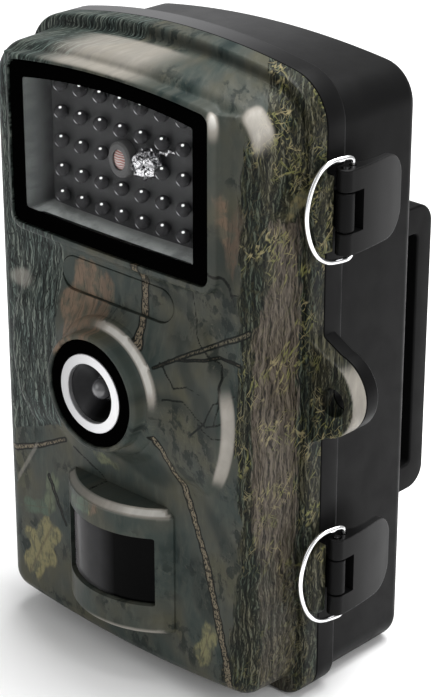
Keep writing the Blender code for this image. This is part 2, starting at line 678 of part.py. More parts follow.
def strap_bracket():
    """A C-shaped loop, seen from the side, that a webbing strap runs behind."""
    outer = (corner(BRACKET_BACK - 4.5, BRACKET_TOP - 4.5, 4.5, 90.0, 0.0)
             + corner(BRACKET_BACK - 4.5, BRACKET_BOTTOM + 4.5, 4.5, 0.0, -90.0))
    foot = REAR_FACE + GAP
    inner_y = BRACKET_BACK - 4.5
    inside = [(foot, BRACKET_BOTTOM), (foot, BRACKET_BOTTOM + BRACKET_FOOT),
              (inner_y, BRACKET_BOTTOM + BRACKET_FOOT), (inner_y, BRACKET_TOP - BRACKET_FOOT),
              (foot, BRACKET_TOP - BRACKET_FOOT), (foot, BRACKET_TOP)]
    bracket = prism("strap_bracket", outer + inside, "X", -BRACKET_HALF_WIDTH,
                    BRACKET_HALF_WIDTH)
    for name, (x, z) in BRACKET_SCREWS.items():
        cut(bracket, cylinder(name + "_bracket_bore", (x, 34.0, z), 1.6, 16.0, "Y", 16),
            cylinder(name + "_counterbore", (x, 40.0, z), 2.7, 5.0, "Y", 20))
        screw = cylinder("bracket_screw_" + name, (x, 31.9, z), 1.1, 10.4, "Y", 12)
        join(screw, cylinder(name + "_screw_head", (x, 38.4, z), 2.3, 1.2, "Y", 20, 1.9),
             cylinder(name + "_screw_neck", (x, 37.3, z), 1.1, 2.0, "Y", 12))
        finish_piece(screw, "bright_steel")
    finish_piece(bracket, "satin_black")


def base_fittings():
    insert = turned_upright("tripod_insert", (0.0, TRIPOD_Y), [(3.1, 9.0), (4.6, 9.0),
                                                               (4.6, 0.3), (3.1, 0.3)])
    finish_piece(insert, "brass")
    plug = turned_upright("port_plug", (PORT_X, PORT_Y), [(0.0, 4.4), (3.6, 4.4), (3.6, 1.6),
                                                          (5.2, 1.6), (5.2, 0.5), (0.0, 0.5)])
    finish_piece(plug, "seal_rubber")
    jack = block("dc_jack", (PORT_X - 4.5, PORT_X + 4.5), (PORT_Y - 5.0, PORT_Y + 5.0),
                 (5.0, 16.0))
    finish_piece(jack, "satin_black")


def battery_pack():
    tray = block("battery_tray", (-31.2, 31.2), (11.0, 25.2), (36.6, 91.4))
    cut(tray, block("tray_room", (-29.7, 29.7), (9.0, 23.9), (38.1, 89.9)))
    finish_piece(tray, "satin_black")
    for index in range(4):
        x = (index - 1.5) * CELL_PITCH
        upright = 1.0 if index % 2 == 0 else -1.0
        middle = (CELL_BOTTOM + CELL_TOP) / 2.0
        half = (CELL_TOP - CELL_BOTTOM) / 2.0
        profile = [(0.0, half), (2.7, half), (2.7, half - 1.1), (6.7, half - 1.1),
                   (CELL_RADIUS, half - 1.6), (CELL_RADIUS, -half), (0.0, -half)]
        if upright < 0.0:
            profile = [(radius, -height) for radius, height in reversed(profile)]
        shifted = [(radius, middle + height) for radius, height in profile]
        cell = turned_upright("battery_%d" % (index + 1), (x, CELL_Y), shifted)
        finish_piece(cell, "cell_wrap")
    contacts = {"upper_contact_left": (-28.0, -1.5, True), "upper_contact_right": (1.5, 28.0, True),
                "lower_contact_left": (-28.0, -16.5, False),
                "lower_contact_middle": (-13.0, 13.0, False),
                "lower_contact_right": (16.5, 28.0, False)}
    for name, (left, right, upper) in contacts.items():
        low = 89.2 if upper else 38.4
        plate = block(name, (left, right), (12.0, 21.0), (low, low + 0.5))
        finish_piece(plate, "bright_steel")


# ---------------------------------------------------------------- hinge pins and latches

def hinge_pins():
    for name, height in HINGE_HEIGHTS.items():
        pin = cylinder(name + "_hinge_pin", (HINGE_X, 0.0, height), 1.0, 18.4, "Z", 16)
        finish_piece(pin, "bright_steel")


def lever(name, height):
    """A long, gently curved finger lever with a window round the fixed barrel."""
    pivot = (PIN_X, PIN_Y, height)
    profile = [(43.7, 1.3), (43.75, 3.6), (43.6, 6.8), (43.3, 10.2), (42.8, 13.8), (42.0, 17.6),
               (40.6, 17.3), (41.4, 13.4), (41.8, 9.8), (41.7, 7.2), (40.9, 5.4), (40.2, 3.8),
               (40.1, 1.3)]
    piece = prism(name, profile, "Z", height - LEVER_HALF, height + LEVER_HALF, pivot)
    face = (corner(12.1, height + 3.0, 5.5, 90.0, 0.0, 6)
            + corner(12.1, height - 3.0, 5.5, 0.0, -90.0, 6)
            + [(-2.0, height - LEVER_HALF), (-2.0, height + LEVER_HALF)])
    for side in (-1.0, 1.0):
        middle = height + side * (LUG_HALF + GAP + LEVER_HALF) / 2.0
        knuckle = cylinder("%s_knuckle_%d" % (name, side > 0), (PIN_X, PIN_Y, middle),
                           KNUCKLE_RADIUS, LEVER_HALF - LUG_HALF - GAP, "Z", 20)
        join(piece, knuckle)
    combine(piece, prism(name + "_face", face, "X", 36.0, 46.0), "INTERSECT")
    cut(piece,
        block(name + "_window", (37.0, 47.0), (-3.0, 4.5),
              (height - LUG_HALF - GAP, height + LUG_HALF + GAP)),
        cylinder(name + "_bore", (PIN_X, PIN_Y, height), PIN_RADIUS + GAP, 20.0, "Z", 16))
    for side in (-1.0, 1.0):
        cut(piece, cylinder("%s_bail_hole_%d" % (name, side > 0),
                            (BAIL_X, BAIL_Y, height + side * LEVER_HALF), 0.75, 4.6, "Z", 12))
    finish_piece(piece, "satin_black")


def bail(name, height):
    """The wire loop, an open U whose ends turn in towards each other."""
    along = Vector((math.sin(BAIL_LEAN), -math.cos(BAIL_LEAN), 0.0))
    start = Vector((BAIL_X, BAIL_Y, height))
    path = BAIL_SHAPE + [(reach, -side) for reach, side in reversed(BAIL_SHAPE[:-1])]
    points = [start + along * reach + Vector((0.0, 0.0, side)) for reach, side in path]
    piece = wire(name, points, WIRE_RADIUS, start)
    finish_piece(piece, "bright_steel")


def latches():
    for name, height in LATCH_HEIGHTS.items():
        lever(name + "_latch_lever", height)
        bail(name + "_latch_bail", height)
        pin = cylinder(name + "_latch_pin", (PIN_X, PIN_Y, height), PIN_RADIUS,
                       2.0 * LEVER_HALF + 0.4, "Z", 16)
        finish_piece(pin, "bright_steel")


# ---------------------------------------------------------------- the build

clear_scene()
PARTS = new_collection("trail_camera")
CUTTERS = new_collection("cutters")
LOOKS = {
    "camouflage": material("camouflage", (0.09, 0.10, 0.075), 0.45),
    "satin_black": material("satin_black", (0.02, 0.02, 0.021), 0.42),
    "gloss_black": material("gloss_black", (0.004, 0.004, 0.004), 0.08),
    "clear_plastic": material("clear_plastic", (0.10, 0.10, 0.11), 0.05),
    "grey_plastic": material("grey_plastic", (0.22, 0.23, 0.23), 0.5),
    "circuit_board": material("circuit_board", (0.03, 0.035, 0.04), 0.5),
    "photocell_amber": material("photocell_amber", (0.25, 0.12, 0.08), 0.3),
    "bright_steel": material("bright_steel", (0.75, 0.75, 0.76), 0.18, 1.0),
    "satin_silver": material("satin_silver", (0.70, 0.70, 0.71), 0.35, 0.9),
    "glass": material("glass", (0.35, 0.36, 0.38), 0.03),
    "brass": material("brass", (0.65, 0.48, 0.20), 0.3, 1.0),
    "seal_rubber": material("seal_rubber", (0.015, 0.015, 0.015), 0.8),
    "cell_wrap": material("cell_wrap", (0.30, 0.22, 0.08), 0.35, 0.3),
}

front_cover()
infrared_unit()
lens_unit()
motion_sensor()
badge()
door_panel()
display_and_boards()
controls()
rear_case()
seal()
strap_bracket()
base_fittings()
battery_pack()
hinge_pins()
latches()
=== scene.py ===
"""The looks of the trail camera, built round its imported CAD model.

Helpers take millimetres, with y measured from the seam between the two shells, as the
case's own drawings do. A piece that replaces a CAD node has the same place and size,
with smooth curves, rounded edges and finer detail. The camouflage is printed film: each
moulded piece that wears it carries the film's layout (bark, trunk, branches, leaves) as
smooth fields on its mesh, and one node material draws the film from them. Some sheen and
shade is drawn into the colours too; the materials' own notes say where.
"""

import math

import bmesh
import bpy
import numpy as np
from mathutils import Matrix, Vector


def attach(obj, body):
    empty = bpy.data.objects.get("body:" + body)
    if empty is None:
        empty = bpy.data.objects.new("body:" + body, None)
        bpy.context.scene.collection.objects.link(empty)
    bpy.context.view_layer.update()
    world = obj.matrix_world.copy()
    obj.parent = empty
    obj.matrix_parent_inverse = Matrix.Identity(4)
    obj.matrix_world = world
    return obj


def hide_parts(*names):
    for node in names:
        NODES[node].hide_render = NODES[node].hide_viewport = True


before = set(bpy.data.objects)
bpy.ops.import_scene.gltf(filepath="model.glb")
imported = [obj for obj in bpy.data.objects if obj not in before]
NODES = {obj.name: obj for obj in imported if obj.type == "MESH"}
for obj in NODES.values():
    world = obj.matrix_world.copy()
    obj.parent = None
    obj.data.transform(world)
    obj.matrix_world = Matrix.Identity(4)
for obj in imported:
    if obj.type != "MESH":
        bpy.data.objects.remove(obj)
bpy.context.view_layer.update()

MM = 0.001
SEAM_Y = -14.0
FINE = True
ROUND = 96 if FINE else 48            # steps round a turned piece

FACE = -17.6                          # the front face of the door
LENS_Z = 64.8
EAR_HOLE = (44.3, 69.8)
LATCHES = {"upper": 106.7, "lower": 29.2}
HINGES = {"upper": 104.0, "lower": 32.0}
HINGE_X = -41.0
PIN = (41.9, 1.3)                     # the lever pins
BAIL_PIVOT = (41.7, 3.4)
TRIPOD = (0.0, 8.0)
PORT = (18.0, 15.0)
BRACKET_SCREWS = [(x, z) for x in (-26.0, 26.0) for z in (35.0, 93.0)]


# ---------------------------------------------------------------- meshes

def add(name, points, faces):
    """A mesh from points in millimetres, with its normals outward."""
    points = np.asarray(points, float)
    mesh = bpy.data.meshes.new(name)
    mesh.from_pydata(((points + (0.0, SEAM_Y, 0.0)) * MM).tolist(), [], faces)
    bm = bmesh.new()
    bm.from_mesh(mesh)
    bmesh.ops.recalc_face_normals(bm, faces=bm.faces[:])
    bm.to_mesh(mesh)
    bm.free()
    made = bpy.data.objects.new(name, mesh)
    bpy.context.scene.collection.objects.link(made)
    return made


def smooth(piece, angle=32.0):
    piece.data.shade_smooth()
    piece.data.set_sharp_from_angle(angle=math.radians(angle))
    return piece


def stack(name, loops):
    """A closed solid through loops of equally many points, with flat ends."""
    count = len(loops[0])
    points = np.concatenate([np.asarray(loop, float) for loop in loops])
    faces = [tuple(range(count - 1, -1, -1))]
    for level in range(len(loops) - 1):
        base = level * count
        for step in range(count):
            after = (step + 1) % count
            faces.append((base + step, base + after, base + count + after, base + count + step))
    faces.append(tuple(range((len(loops) - 1) * count, len(loops) * count)))
    return add(name, points, faces)


def shrink(outline, inset):
    """A closed outline moved inwards along its own normals."""
    points = np.asarray(outline, float)
    if inset == 0.0:
        return points
    ahead = np.roll(points, -1, axis=0) - points
    ahead /= np.linalg.norm(ahead, axis=1)[:, None] + 1e-9
    behind = np.roll(ahead, 1, axis=0)
    along = ahead + behind
    along /= np.linalg.norm(along, axis=1)[:, None] + 1e-9
    turn = np.clip(np.maximum((ahead * along).sum(1), (behind * along).sum(1)), 0.5, 1.0)
    area = (points[:, 0] * np.roll(points[:, 1], -1) - np.roll(points[:, 0], -1) * points[:, 1])
    side = 1.0 if area.sum() > 0.0 else -1.0
    normal = np.stack([-along[:, 1], along[:, 0]], axis=1) * side
    return points + normal * (inset / turn)[:, None]


def on_axis(outline, axis, position):
    """(x, z) along Y, (y, z) along X, (x, y) along Z."""
    flat = np.asarray(outline, float)
    level = np.full(len(flat), position)
    if axis == "Y":
        return np.stack([flat[:, 0], level, flat[:, 1]], axis=1)
    if axis == "X":
        return np.stack([level, flat[:, 0], flat[:, 1]], axis=1)
    return np.stack([flat[:, 0], flat[:, 1], level], axis=1)


def extrude(name, outline, profile, axis="Y"):
    """An outline, or a function of its inset, carried through (inset, position) steps."""
    loops = []
    for inset, position in profile:
        shape = outline(inset) if callable(outline) else shrink(outline, inset)
        loops.append(on_axis(shape, axis, position))
    return stack(name, loops)


def eased(start, end, first=0.0, last=0.0, steps=6):
    """The (inset, position) steps of a wall whose two rims are rounded off."""
    way = 1.0 if end > start else -1.0
    near, far = [(0.0, start)], [(0.0, end)]
    quarter = [math.pi / 2.0 * step / steps for step in range(steps + 1)]
    if first > 0.0:
        near = [(first * (1.0 - math.sin(a)), start + way * first * (1.0 - math.cos(a)))
                for a in quarter]
    if last > 0.0:
        far = [(last * (1.0 - math.cos(a)), end - way * last * (1.0 - math.sin(a)))
               for a in quarter]
    return near + far


def turned(name, profile, centre, axis="Y", steps=None):
    """A solid of revolution; the profile is a closed chain of (radius, position)."""
    steps = steps or ROUND
    points, rows = [], []
    for radius, position in profile:
        if radius < 1e-6:
            rows.append([len(points)] * steps)
            points.append((0.0, 0.0, position))
        else:
            rows.append(list(range(len(points), len(points) + steps)))
            for step in range(steps):
                angle = 2.0 * math.pi * step / steps
                points.append((radius * math.cos(angle), radius * math.sin(angle), position))
    faces = []
    pairs = list(zip(rows, rows[1:]))
    if profile[0][0] > 1e-6:
        pairs.append((rows[-1], rows[0]))
    for first, second in pairs:
        for step in range(steps):
            after = (step + 1) % steps
            corners = [first[step], first[after], second[after], second[step]]
            kept = [c for i, c in enumerate(corners) if c != corners[i - 1]]
            if len(kept) > 2:
                faces.append(tuple(kept))
    flat = np.array(points)
    if axis == "Y":
        places = np.stack([flat[:, 0] + centre[0], flat[:, 2], flat[:, 1] + centre[1]], axis=1)
    else:
        places = np.stack([flat[:, 0] + centre[0], flat[:, 1] + centre[1], flat[:, 2]], axis=1)
    return add(name, places, faces)


def block(name, x, y, z):
    outline = [(x[0], z[0]), (x[1], z[0]), (x[1], z[1]), (x[0], z[1])]
    return stack(name, [on_axis(outline, "Y", level) for level in y])


def tube(name, path, radius, sides=16):
    """A round wire along a path, with flat ends."""
    path = np.asarray(path, float)
    along = np.gradient(path, axis=0)
    along /= np.linalg.norm(along, axis=1)[:, None]
    across = np.cross(along[0], (0.0, 1.0, 0.0))
    if np.linalg.norm(across) < 0.1:
        across = np.cross(along[0], (1.0, 0.0, 0.0))
    loops = []
    for place, way in zip(path, along):
        across = across - way * across.dot(way)
        across /= np.linalg.norm(across)
        other = np.cross(way, across)
        angles = np.arange(sides) * 2.0 * math.pi / sides
        loops.append(place + radius * (np.cos(angles)[:, None] * across
                                       + np.sin(angles)[:, None] * other))
    return stack(name, loops)


def curve_through(points, steps=8):
    """A smooth path through points, by Catmull and Rom's rule."""
    knots = np.asarray(points, float)
    knots = np.vstack([2 * knots[0] - knots[1], knots, 2 * knots[-1] - knots[-2]])
    path = []
    for a, b, c, d in zip(knots, knots[1:], knots[2:], knots[3:]):
        for step in range(steps):
            t = step / steps
            path.append(0.5 * (2 * b + (c - a) * t + (2 * a - 5 * b + 4 * c - d) * t * t
                               + (3 * b - a - 3 * c + d) * t ** 3))
    path.append(knots[-2])
    return np.array(path)


def settle(piece):
    """Apply a piece's modifiers."""
    bpy.context.view_layer.update()
    graph = bpy.context.evaluated_depsgraph_get()
    mesh = bpy.data.meshes.new_from_object(piece.evaluated_get(graph))
    old = piece.data
    piece.modifiers.clear()
    piece.data = mesh
    bpy.data.meshes.remove(old)
    return piece


def drop(piece):
    mesh = piece.data
    bpy.data.objects.remove(piece)
    bpy.data.meshes.remove(mesh)


def merged(name, pieces):
    """One mesh from several, which are used up."""
    bm = bmesh.new()
    for piece in pieces:
        bm.from_mesh(piece.data)
        drop(piece)
    mesh = bpy.data.meshes.new(name)
    bm.to_mesh(mesh)
    bm.free()
    made = bpy.data.objects.new(name, mesh)
    bpy.context.scene.collection.objects.link(made)
    return made


def mould(name, pieces, grain, rounds):
    """Melt overlapping solids into one skin with soft inner and outer corners."""
    made = merged(name, pieces)
    remesh = made.modifiers.new("skin", "REMESH")
    remesh.mode = "VOXEL"
    remesh.voxel_size = grain * MM
    relax = made.modifiers.new("relax", "SMOOTH")
    relax.factor = 0.5
    relax.iterations = rounds
    return settle(made)


def carve(piece, cutters, operation="DIFFERENCE"):
    for cutter in cutters:
        boolean = piece.modifiers.new("carve", "BOOLEAN")
        boolean.solver = "MANIFOLD"
        boolean.operation = operation
        boolean.object = cutter
    settle(piece)
    for cutter in cutters:
        drop(cutter)
    return piece


# ---------------------------------------------------------------- outlines

def corner(centre_x, centre_z, radius, start, end, steps=10):
    angles = [math.radians(start + (end - start) * step / steps) for step in range(steps + 1)]
    return [(centre_x + radius * math.cos(a), centre_z + radius * math.sin(a)) for a in angles]


def half_arch(half_width, crown, sag, radius, arch_steps=16):
    if sag == 0.0:
        return [(0.0, crown)] + corner(half_width - radius, crown - radius, radius, 90.0, 0.0)
    arch_radius = (half_width ** 2 + sag ** 2) / (2.0 * sag)
    centre = crown - arch_radius
    reach = half_width - radius
    corner_z = centre + math.sqrt((arch_radius - radius) ** 2 - reach ** 2)
    meet = math.degrees(math.atan2(corner_z - centre, reach))
    arch = corner(0.0, centre, arch_radius, 90.0, meet, arch_steps)
    return arch[:-1] + corner(reach, corner_z, radius, meet, 0.0)


def case_outline(half_width, bottom, top, sag, top_radius, bottom_radius, bottom_sag=0.0):
    upper = half_arch(half_width, top, sag, top_radius)
    lower = half_arch(half_width, -bottom, bottom_sag, bottom_radius)
    right = upper + [(x, -z) for x, z in reversed(lower)]
    left = [(-x, z) for x, z in reversed(right) if x > 1e-6]
    return right + left


def flange_outline(inset=0.0):
    return case_outline(38.4 - inset, inset, 134.7 - inset, 4.8, 10.2 - inset, 6.4 - inset)


def front_outline(inset=0.0):
    return case_outline(36.0 - inset, 2.3 + inset, 131.8 - inset, 4.0,
                        max(8.5 - inset, 1.0), max(5.0 - inset, 0.8), 2.2)


def rear_outline(inset=0.0, bottom=0.0):
    return case_outline(36.3 - inset, bottom + inset * (bottom == 0.0), 130.0 - inset, 3.05,
                        max(8.1 - inset, 1.0), max(6.4 - inset, 1.0))


def window_outline(half_width, bottom, top, radius):
    return case_outline(half_width, bottom, top, 1.9, radius, radius, 0.4)


def bezel_outline(inset=0.0):
    return window_outline(28.4 - inset, 91.0 + inset, 129.5 - inset, max(3.6 - inset, 0.6))


def pill_outline(half_width, half_height, centre_z):
    reach = half_width - half_height
    return (corner(reach, centre_z, half_height, -90.0, 90.0, 16)
            + corner(-reach, centre_z, half_height, 90.0, 270.0, 16))


def box_outline(x, z, radius):
    low_x, high_x = x[0] + radius, x[1] - radius
    low_z, high_z = z[0] + radius, z[1] - radius
    return (corner(low_x, low_z, radius, 180.0, 270.0, 6)
            + corner(high_x, low_z, radius, 270.0, 360.0, 6)
            + corner(high_x, high_z, radius, 0.0, 90.0, 6)
            + corner(low_x, high_z, radius, 90.0, 180.0, 6))


PIR_RADIUS = 20.4
PIR_APEX = -24.8
PIR_CENTRE_Y = PIR_APEX + PIR_RADIUS


def sensor_arc(radius, half_width, steps=40):
    limit = math.asin(half_width / radius)
    angles = [limit * (2.0 * step / steps - 1.0) for step in range(steps + 1)]
    return [(radius * math.sin(a), PIR_CENTRE_Y - radius * math.cos(a)) for a in angles]


def ear_outline(inset=0.0):
    return ([(35.0, 82.5 - inset)] + corner(41.2, 69.8, 8.4 - inset, 78.0, -78.0, 24)
            + [(35.0, 57.1 + inset)])


# ---------------------------------------------------------------- the camouflage film

def step_between(low, high, value):
    t = np.clip((value - low) / (high - low), 0.0, 1.0)
    return t * t * (3.0 - 2.0 * t)


def band(value, low, inner_low, inner_high, high):
    """One between the inner limits, falling to nothing at the outer ones."""
    return step_between(low, inner_low, value) * (1.0 - step_between(inner_high, high, value))


def line_distance(u, v, points, width):
    """How far inside a line of tapering half-width each place is, in millimetres."""
    best = np.full(u.shape, -99.0)
    knots = np.asarray(points, float)
    widths = np.linspace(width[0], width[1], len(knots))
    for start, end, w0, w1 in zip(knots, knots[1:], widths, widths[1:]):
        way = end - start
        t = np.clip(((u - start[0]) * way[0] + (v - start[1]) * way[1]) / way.dot(way), 0.0, 1.0)
        gap = np.hypot(u - start[0] - t * way[0], v - start[1] - t * way[1])
        best = np.maximum(best, w0 + (w1 - w0) * t - gap)
    return best


def leaf_distance(u, v, centre, length, width, lean, lobes, depth):
    """How far inside a lobed leaf each place is; the leaf lies along its lean."""
    angle = math.radians(lean)
    du, dv = u - centre[0], v - centre[1]
    along = (du * math.cos(angle) + dv * math.sin(angle)) / length
    across = (-du * math.sin(angle) + dv * math.cos(angle)) / width
    turn = np.arctan2(across, along)
    reach = np.hypot(along, across)
    edge = 1.0 - depth * (0.5 + 0.5 * np.cos(lobes * turn)) * np.abs(np.sin(turn)) ** 0.7
    return (edge - reach) * width, across


# (points, half-width at each end, how light the wood is)
BRANCHES = [
    ([(5.5, 101), (7.4, 94), (8.0, 88), (7.8, 82.5), (8.2, 77.5), (9.0, 76.0)], (1.2, 1.0), 0.8),
    ([(12.6, 57.6), (13.9, 55.4), (16.3, 51.7), (18.0, 47.9), (20.3, 42.8), (22.0, 38.2),
      (23.9, 33.3), (25.6, 27.1), (27.8, 18.3), (29.4, 12.5), (31.0, 2.0)], (0.8, 1.15), 1.0),
    ([(35.0, 85.0), (30.0, 82.6), (25.8, 80.2), (19.7, 76.9), (12.8, 72.7)], (0.75, 0.4), 0.55),
    ([(33.0, 78.2), (28.0, 78.6), (23.1, 77.1), (16.3, 75.2)], (0.45, 0.3), 0.7),
    ([(-40.0, 38.2), (-32.1, 39.3), (-25.0, 42.0), (-16.4, 46.4)], (0.9, 0.6), 0.85),
    ([(20.5, 90.5), (21.3, 86.0), (22.4, 81.5), (24.5, 79.5), (28.4, 77.0), (29.3, 69.8),
      (28.2, 65.0)], (0.16, 0.14), 0.0),
    ([(14.0, 74.0), (17.5, 69.5), (21.0, 71.0), (25.0, 70.2)], (0.2, 0.12), 0.0),
    ([(15.0, 66.5), (20.0, 67.5), (26.0, 64.0), (31.5, 66.5)], (0.2, 0.16), 0.0),
    ([(22.0, 61.0), (25.5, 64.5), (28.0, 69.5), (31.5, 71.5)], (0.22, 0.12), 0.0),
    ([(24.0, 64.0), (27.5, 62.0), (31.0, 62.8)], (0.18, 0.12), 0.0),
    ([(29.0, 95.0), (30.5, 92.0), (33.5, 92.8)], (0.2, 0.12), 0.0),
    ([(27.0, 96.5), (30.0, 94.0), (31.5, 90.0)], (0.25, 0.12), 0.0),
    ([(-22.0, 36.0), (-19.0, 30.0), (-17.0, 26.0)], (0.5, 0.4), 0.4),
    ([(-14.0, 45.5), (-8.0, 43.0), (-3.0, 40.5)], (0.25, 0.15), 0.2),
]

# centre, half-length, half-width, lean, lobes, lobe depth, tone (0 orange, 1 green)
LEAVES = [
    ((-9.0, 80.0), 10.0, 6.2, 78.0, 5, 0.26, 0.06),
    ((-2.6, 81.0), 7.0, 2.6, 96.0, 4, 0.30, 0.12),
    ((-25.0, 17.6), 9.0, 5.6, 62.0, 6, 0.40, 0.55),
    ((-21.5, 32.0), 5.5, 2.6, 80.0, 4, 0.35, 0.75),
    ((-26.5, 27.0), 4.6, 2.4, 15.0, 4, 0.35, 0.85),
    ((-5.6, 37.6), 5.2, 2.2, 14.0, 4, 0.25, 0.8),
    ((-1.2, 38.2), 2.0, 1.5, 60.0, 3, 0.2, 0.1),
    ((31.2, 103.5), 7.0, 2.0, 84.0, 3, 0.20, 0.2),
    ((29.2, 107.0), 5.5, 1.2, 95.0, 3, 0.20, 0.1),
    ((-4.5, 46.0), 4.4, 1.6, 170.0, 3, 0.3, 0.7),
    ((24.0, 14.0), 6.0, 3.0, 70.0, 4, 0.35, 0.6),
    ((46.0, 112.0), 5.5, 1.7, 60.0, 3, 0.2, 0.45),
]

# soft dark patches under the print: centre, half-length, half-width, lean
SHADES = [
    ((20.5, 74.5), 9.0, 2.4, -62.0), ((25.5, 66.0), 6.5, 4.2, -75.0), ((17.0, 66.5), 9.0, 2.2, -8.0),
    ((14.0, 88.0), 7.0, 2.0, -20.0), ((27.5, 84.5), 5.5, 2.5, 20.0), ((6.0, 50.0), 12.0, 4.5, -12.0),
    ((23.0, 26.0), 9.0, 4.0, -70.0), ((-11.0, 55.0), 6.0, 7.0, 0.0), ((28.5, 40.0), 8.5, 2.6, -50.0),
    ((29.6, 97.0), 13.0, 3.2, 88.0), ((-30.0, 63.0), 9.0, 4.0, 80.0),
    ((-27.0, 50.0), 6.0, 3.5, 30.0), ((20.0, 97.0), 7.0, 3.0, -30.0),
]


def film_place(x, y, z):
    """Where each place on the door lies on the flat film, which folds over its sides."""
    behind = np.maximum(y - FACE, 0.0) * 0.8
    u = x + behind * np.clip(x / 22.0, -1.0, 1.0)
    v = z + behind * (step_between(98.0, 124.0, z) - step_between(-34.0, -6.0, -z))
    return u, v


def pale_places(x, y, z, normals):
    """Edges and streaks where pale sheen is drawn into the film's colour."""
    reach = np.hypot(x, z - LENS_Z)
    turn = np.degrees(np.arctan2(z - LENS_Z, x))
    right, front, up = normals.T
    crescent = band(reach, 29.5, 30.0, 31.2, 32.0) * band(turn, -30.0, -19.0, 6.0, 18.0)
    shelf = (step_between(0.35, 0.85, up) * band(x, -24.0, -10.0, 2.0, 14.0)
             * step_between(5.2, 7.5, -y) * step_between(126.0, 129.0, z))
    shoulder = (band(x, 31.0, 32.6, 35.0, 36.4) * step_between(118.5, 123.5, z)
                * step_between(0.25, 0.7, up + right) * band(-y, 10.5, 12.5, 15.8, 16.8))
    bezel = (step_between(0.35, 0.8, 0.6 * right - 0.6 * front + 0.5 * up)
             * band(x, 26.4, 27.6, 28.6, 29.2) * step_between(18.4, 19.4, -y)
             * (0.08 + 0.92 * step_between(121.0, 126.6, z)))
    turret = (band(reach, 12.7, 12.8, 14.2, 14.4) * band(turn, -10.0, 22.0, 74.0, 108.0)
              * step_between(19.6, 20.4, -y))
    brow = (band(up, 0.25, 0.6, 0.85, 0.97) * band(z, 38.6, 39.2, 42.5, 44.0)
            * (0.35 + 0.65 * step_between(-6.0, 12.0, x)) * step_between(18.0, 18.6, -y))
    sill = (band(z, 11.5, 12.0, 13.3, 13.8) * band(x, -8.0, 2.0, 13.0, 14.5)
            * step_between(18.0, 18.6, -y))
    ear = (step_between(43.0, 46.0, x) * step_between(0.35, 0.8, right)
           * (1.0 - step_between(3.7, 4.1, -y))
           * (1.0 - step_between(8.6, 9.4, np.abs(z - EAR_HOLE[1]))))
    left = (band(-x, 24.5, 26.0, 31.0, 33.0)
            * (1.0 - step_between(0.5, 1.3, np.abs(z - 43.0 - 1.55 * (x + 24.8)))))
    patch = 1.0 - step_between(0.6, 1.5, np.hypot((x + 28.0) * 0.55 - (z - 79.5) * 0.3, z - 79.5) * 0.5)
    return np.max([1.1 * crescent, 0.7 * shelf, 1.2 * shoulder, 1.8 * bezel, 1.7 * turret,
                   1.6 * brow, 0.8 * ear, 0.9 * sill, 0.45 * left, 0.55 * patch], axis=0)


def wear_film(piece):
    """Give a piece the film's fields, read where the piece is."""
    mesh = piece.data
    count = len(mesh.vertices)
    flat = np.empty(count * 3)
    mesh.vertices.foreach_get("co", flat)
    x, y, z = (flat.reshape(-1, 3) / MM - (0.0, SEAM_Y, 0.0)).T
    normals = np.empty(count * 3)
    mesh.vertices.foreach_get("normal", normals)
    normals = normals.reshape(-1, 3)
    u, v = film_place(x, y, z)
    sway = 0.8 * np.sin(v * 0.31) + 0.5 * np.sin(v * 0.83 + 1.0)
    right_edge = np.interp(v, [0, 13, 25, 45, 60, 83, 105, 120, 132],
                           [27.5, 29, 32, 33.3, 31.4, 33, 32, 33, 38])
    left_edge = np.interp(v, [0, 44, 50, 90, 128, 140], [-35, -32, -16, -15.5, -15, -6])
    fields = {"bark": np.maximum(u - right_edge + 0.3 * sway, left_edge - u + 0.3 * sway)}
    trunk_start = np.interp(v, [20, 50, 82, 95, 110], [38.5, 36.0, 36.0, 40.0, 40.5])
    fields["trunk"] = np.minimum(np.minimum(u - trunk_start, 46.5 - u) + 0.4 * sway,
                                 0.4 * (104.0 - v) + sway)
    wood = np.full(count, -99.0)
    light = np.zeros(count)
    bend = 0.08 * np.sin(u * 1.3 + v * 0.9) + 0.06 * np.sin(v * 2.1 - u * 0.7)
    for points, width, tone in BRANCHES:
        inside = line_distance(u + bend, v + bend, points, width)
        light = np.where(inside > wood, tone, light)
        wood = np.maximum(wood, inside)
    fields["wood"] = wood
    fields["wood_tone"] = light
    leaf = np.full(count, -99.0)
    tone = np.zeros(count)
    vein = np.zeros(count)
    for centre, length, width, lean, lobes, depth, colour in LEAVES:
        inside, across = leaf_distance(u, v, centre, length, width, lean, lobes, depth)
        tone = np.where(inside > leaf, colour, tone)
        vein = np.where(inside > leaf, across, vein)
        leaf = np.maximum(leaf, inside)
    fields["leaf"] = leaf
    fields["leaf_tone"] = tone
    fields["vein"] = vein
    shade = np.zeros(count)
    for centre, length, width, lean in SHADES:
        inside, _ = leaf_distance(u, v, centre, length, width, lean, 3, 0.2)
        shade = np.maximum(shade, step_between(-0.5, 1.4, inside))
    fields["shade"] = shade
    fields["pale"] = pale_places(x, y, z, normals)
    for name, values in fields.items():
        layer = mesh.attributes.new(name, "FLOAT", "POINT")
        layer.data.foreach_set("value", values.astype(np.float32))
    place = mesh.attributes.new("film", "FLOAT_VECTOR", "POINT")
    coords = np.stack([u, v, np.zeros(count)], axis=1).astype(np.float32)
    place.data.foreach_set("vector", coords.ravel())


# ---------------------------------------------------------------- materials

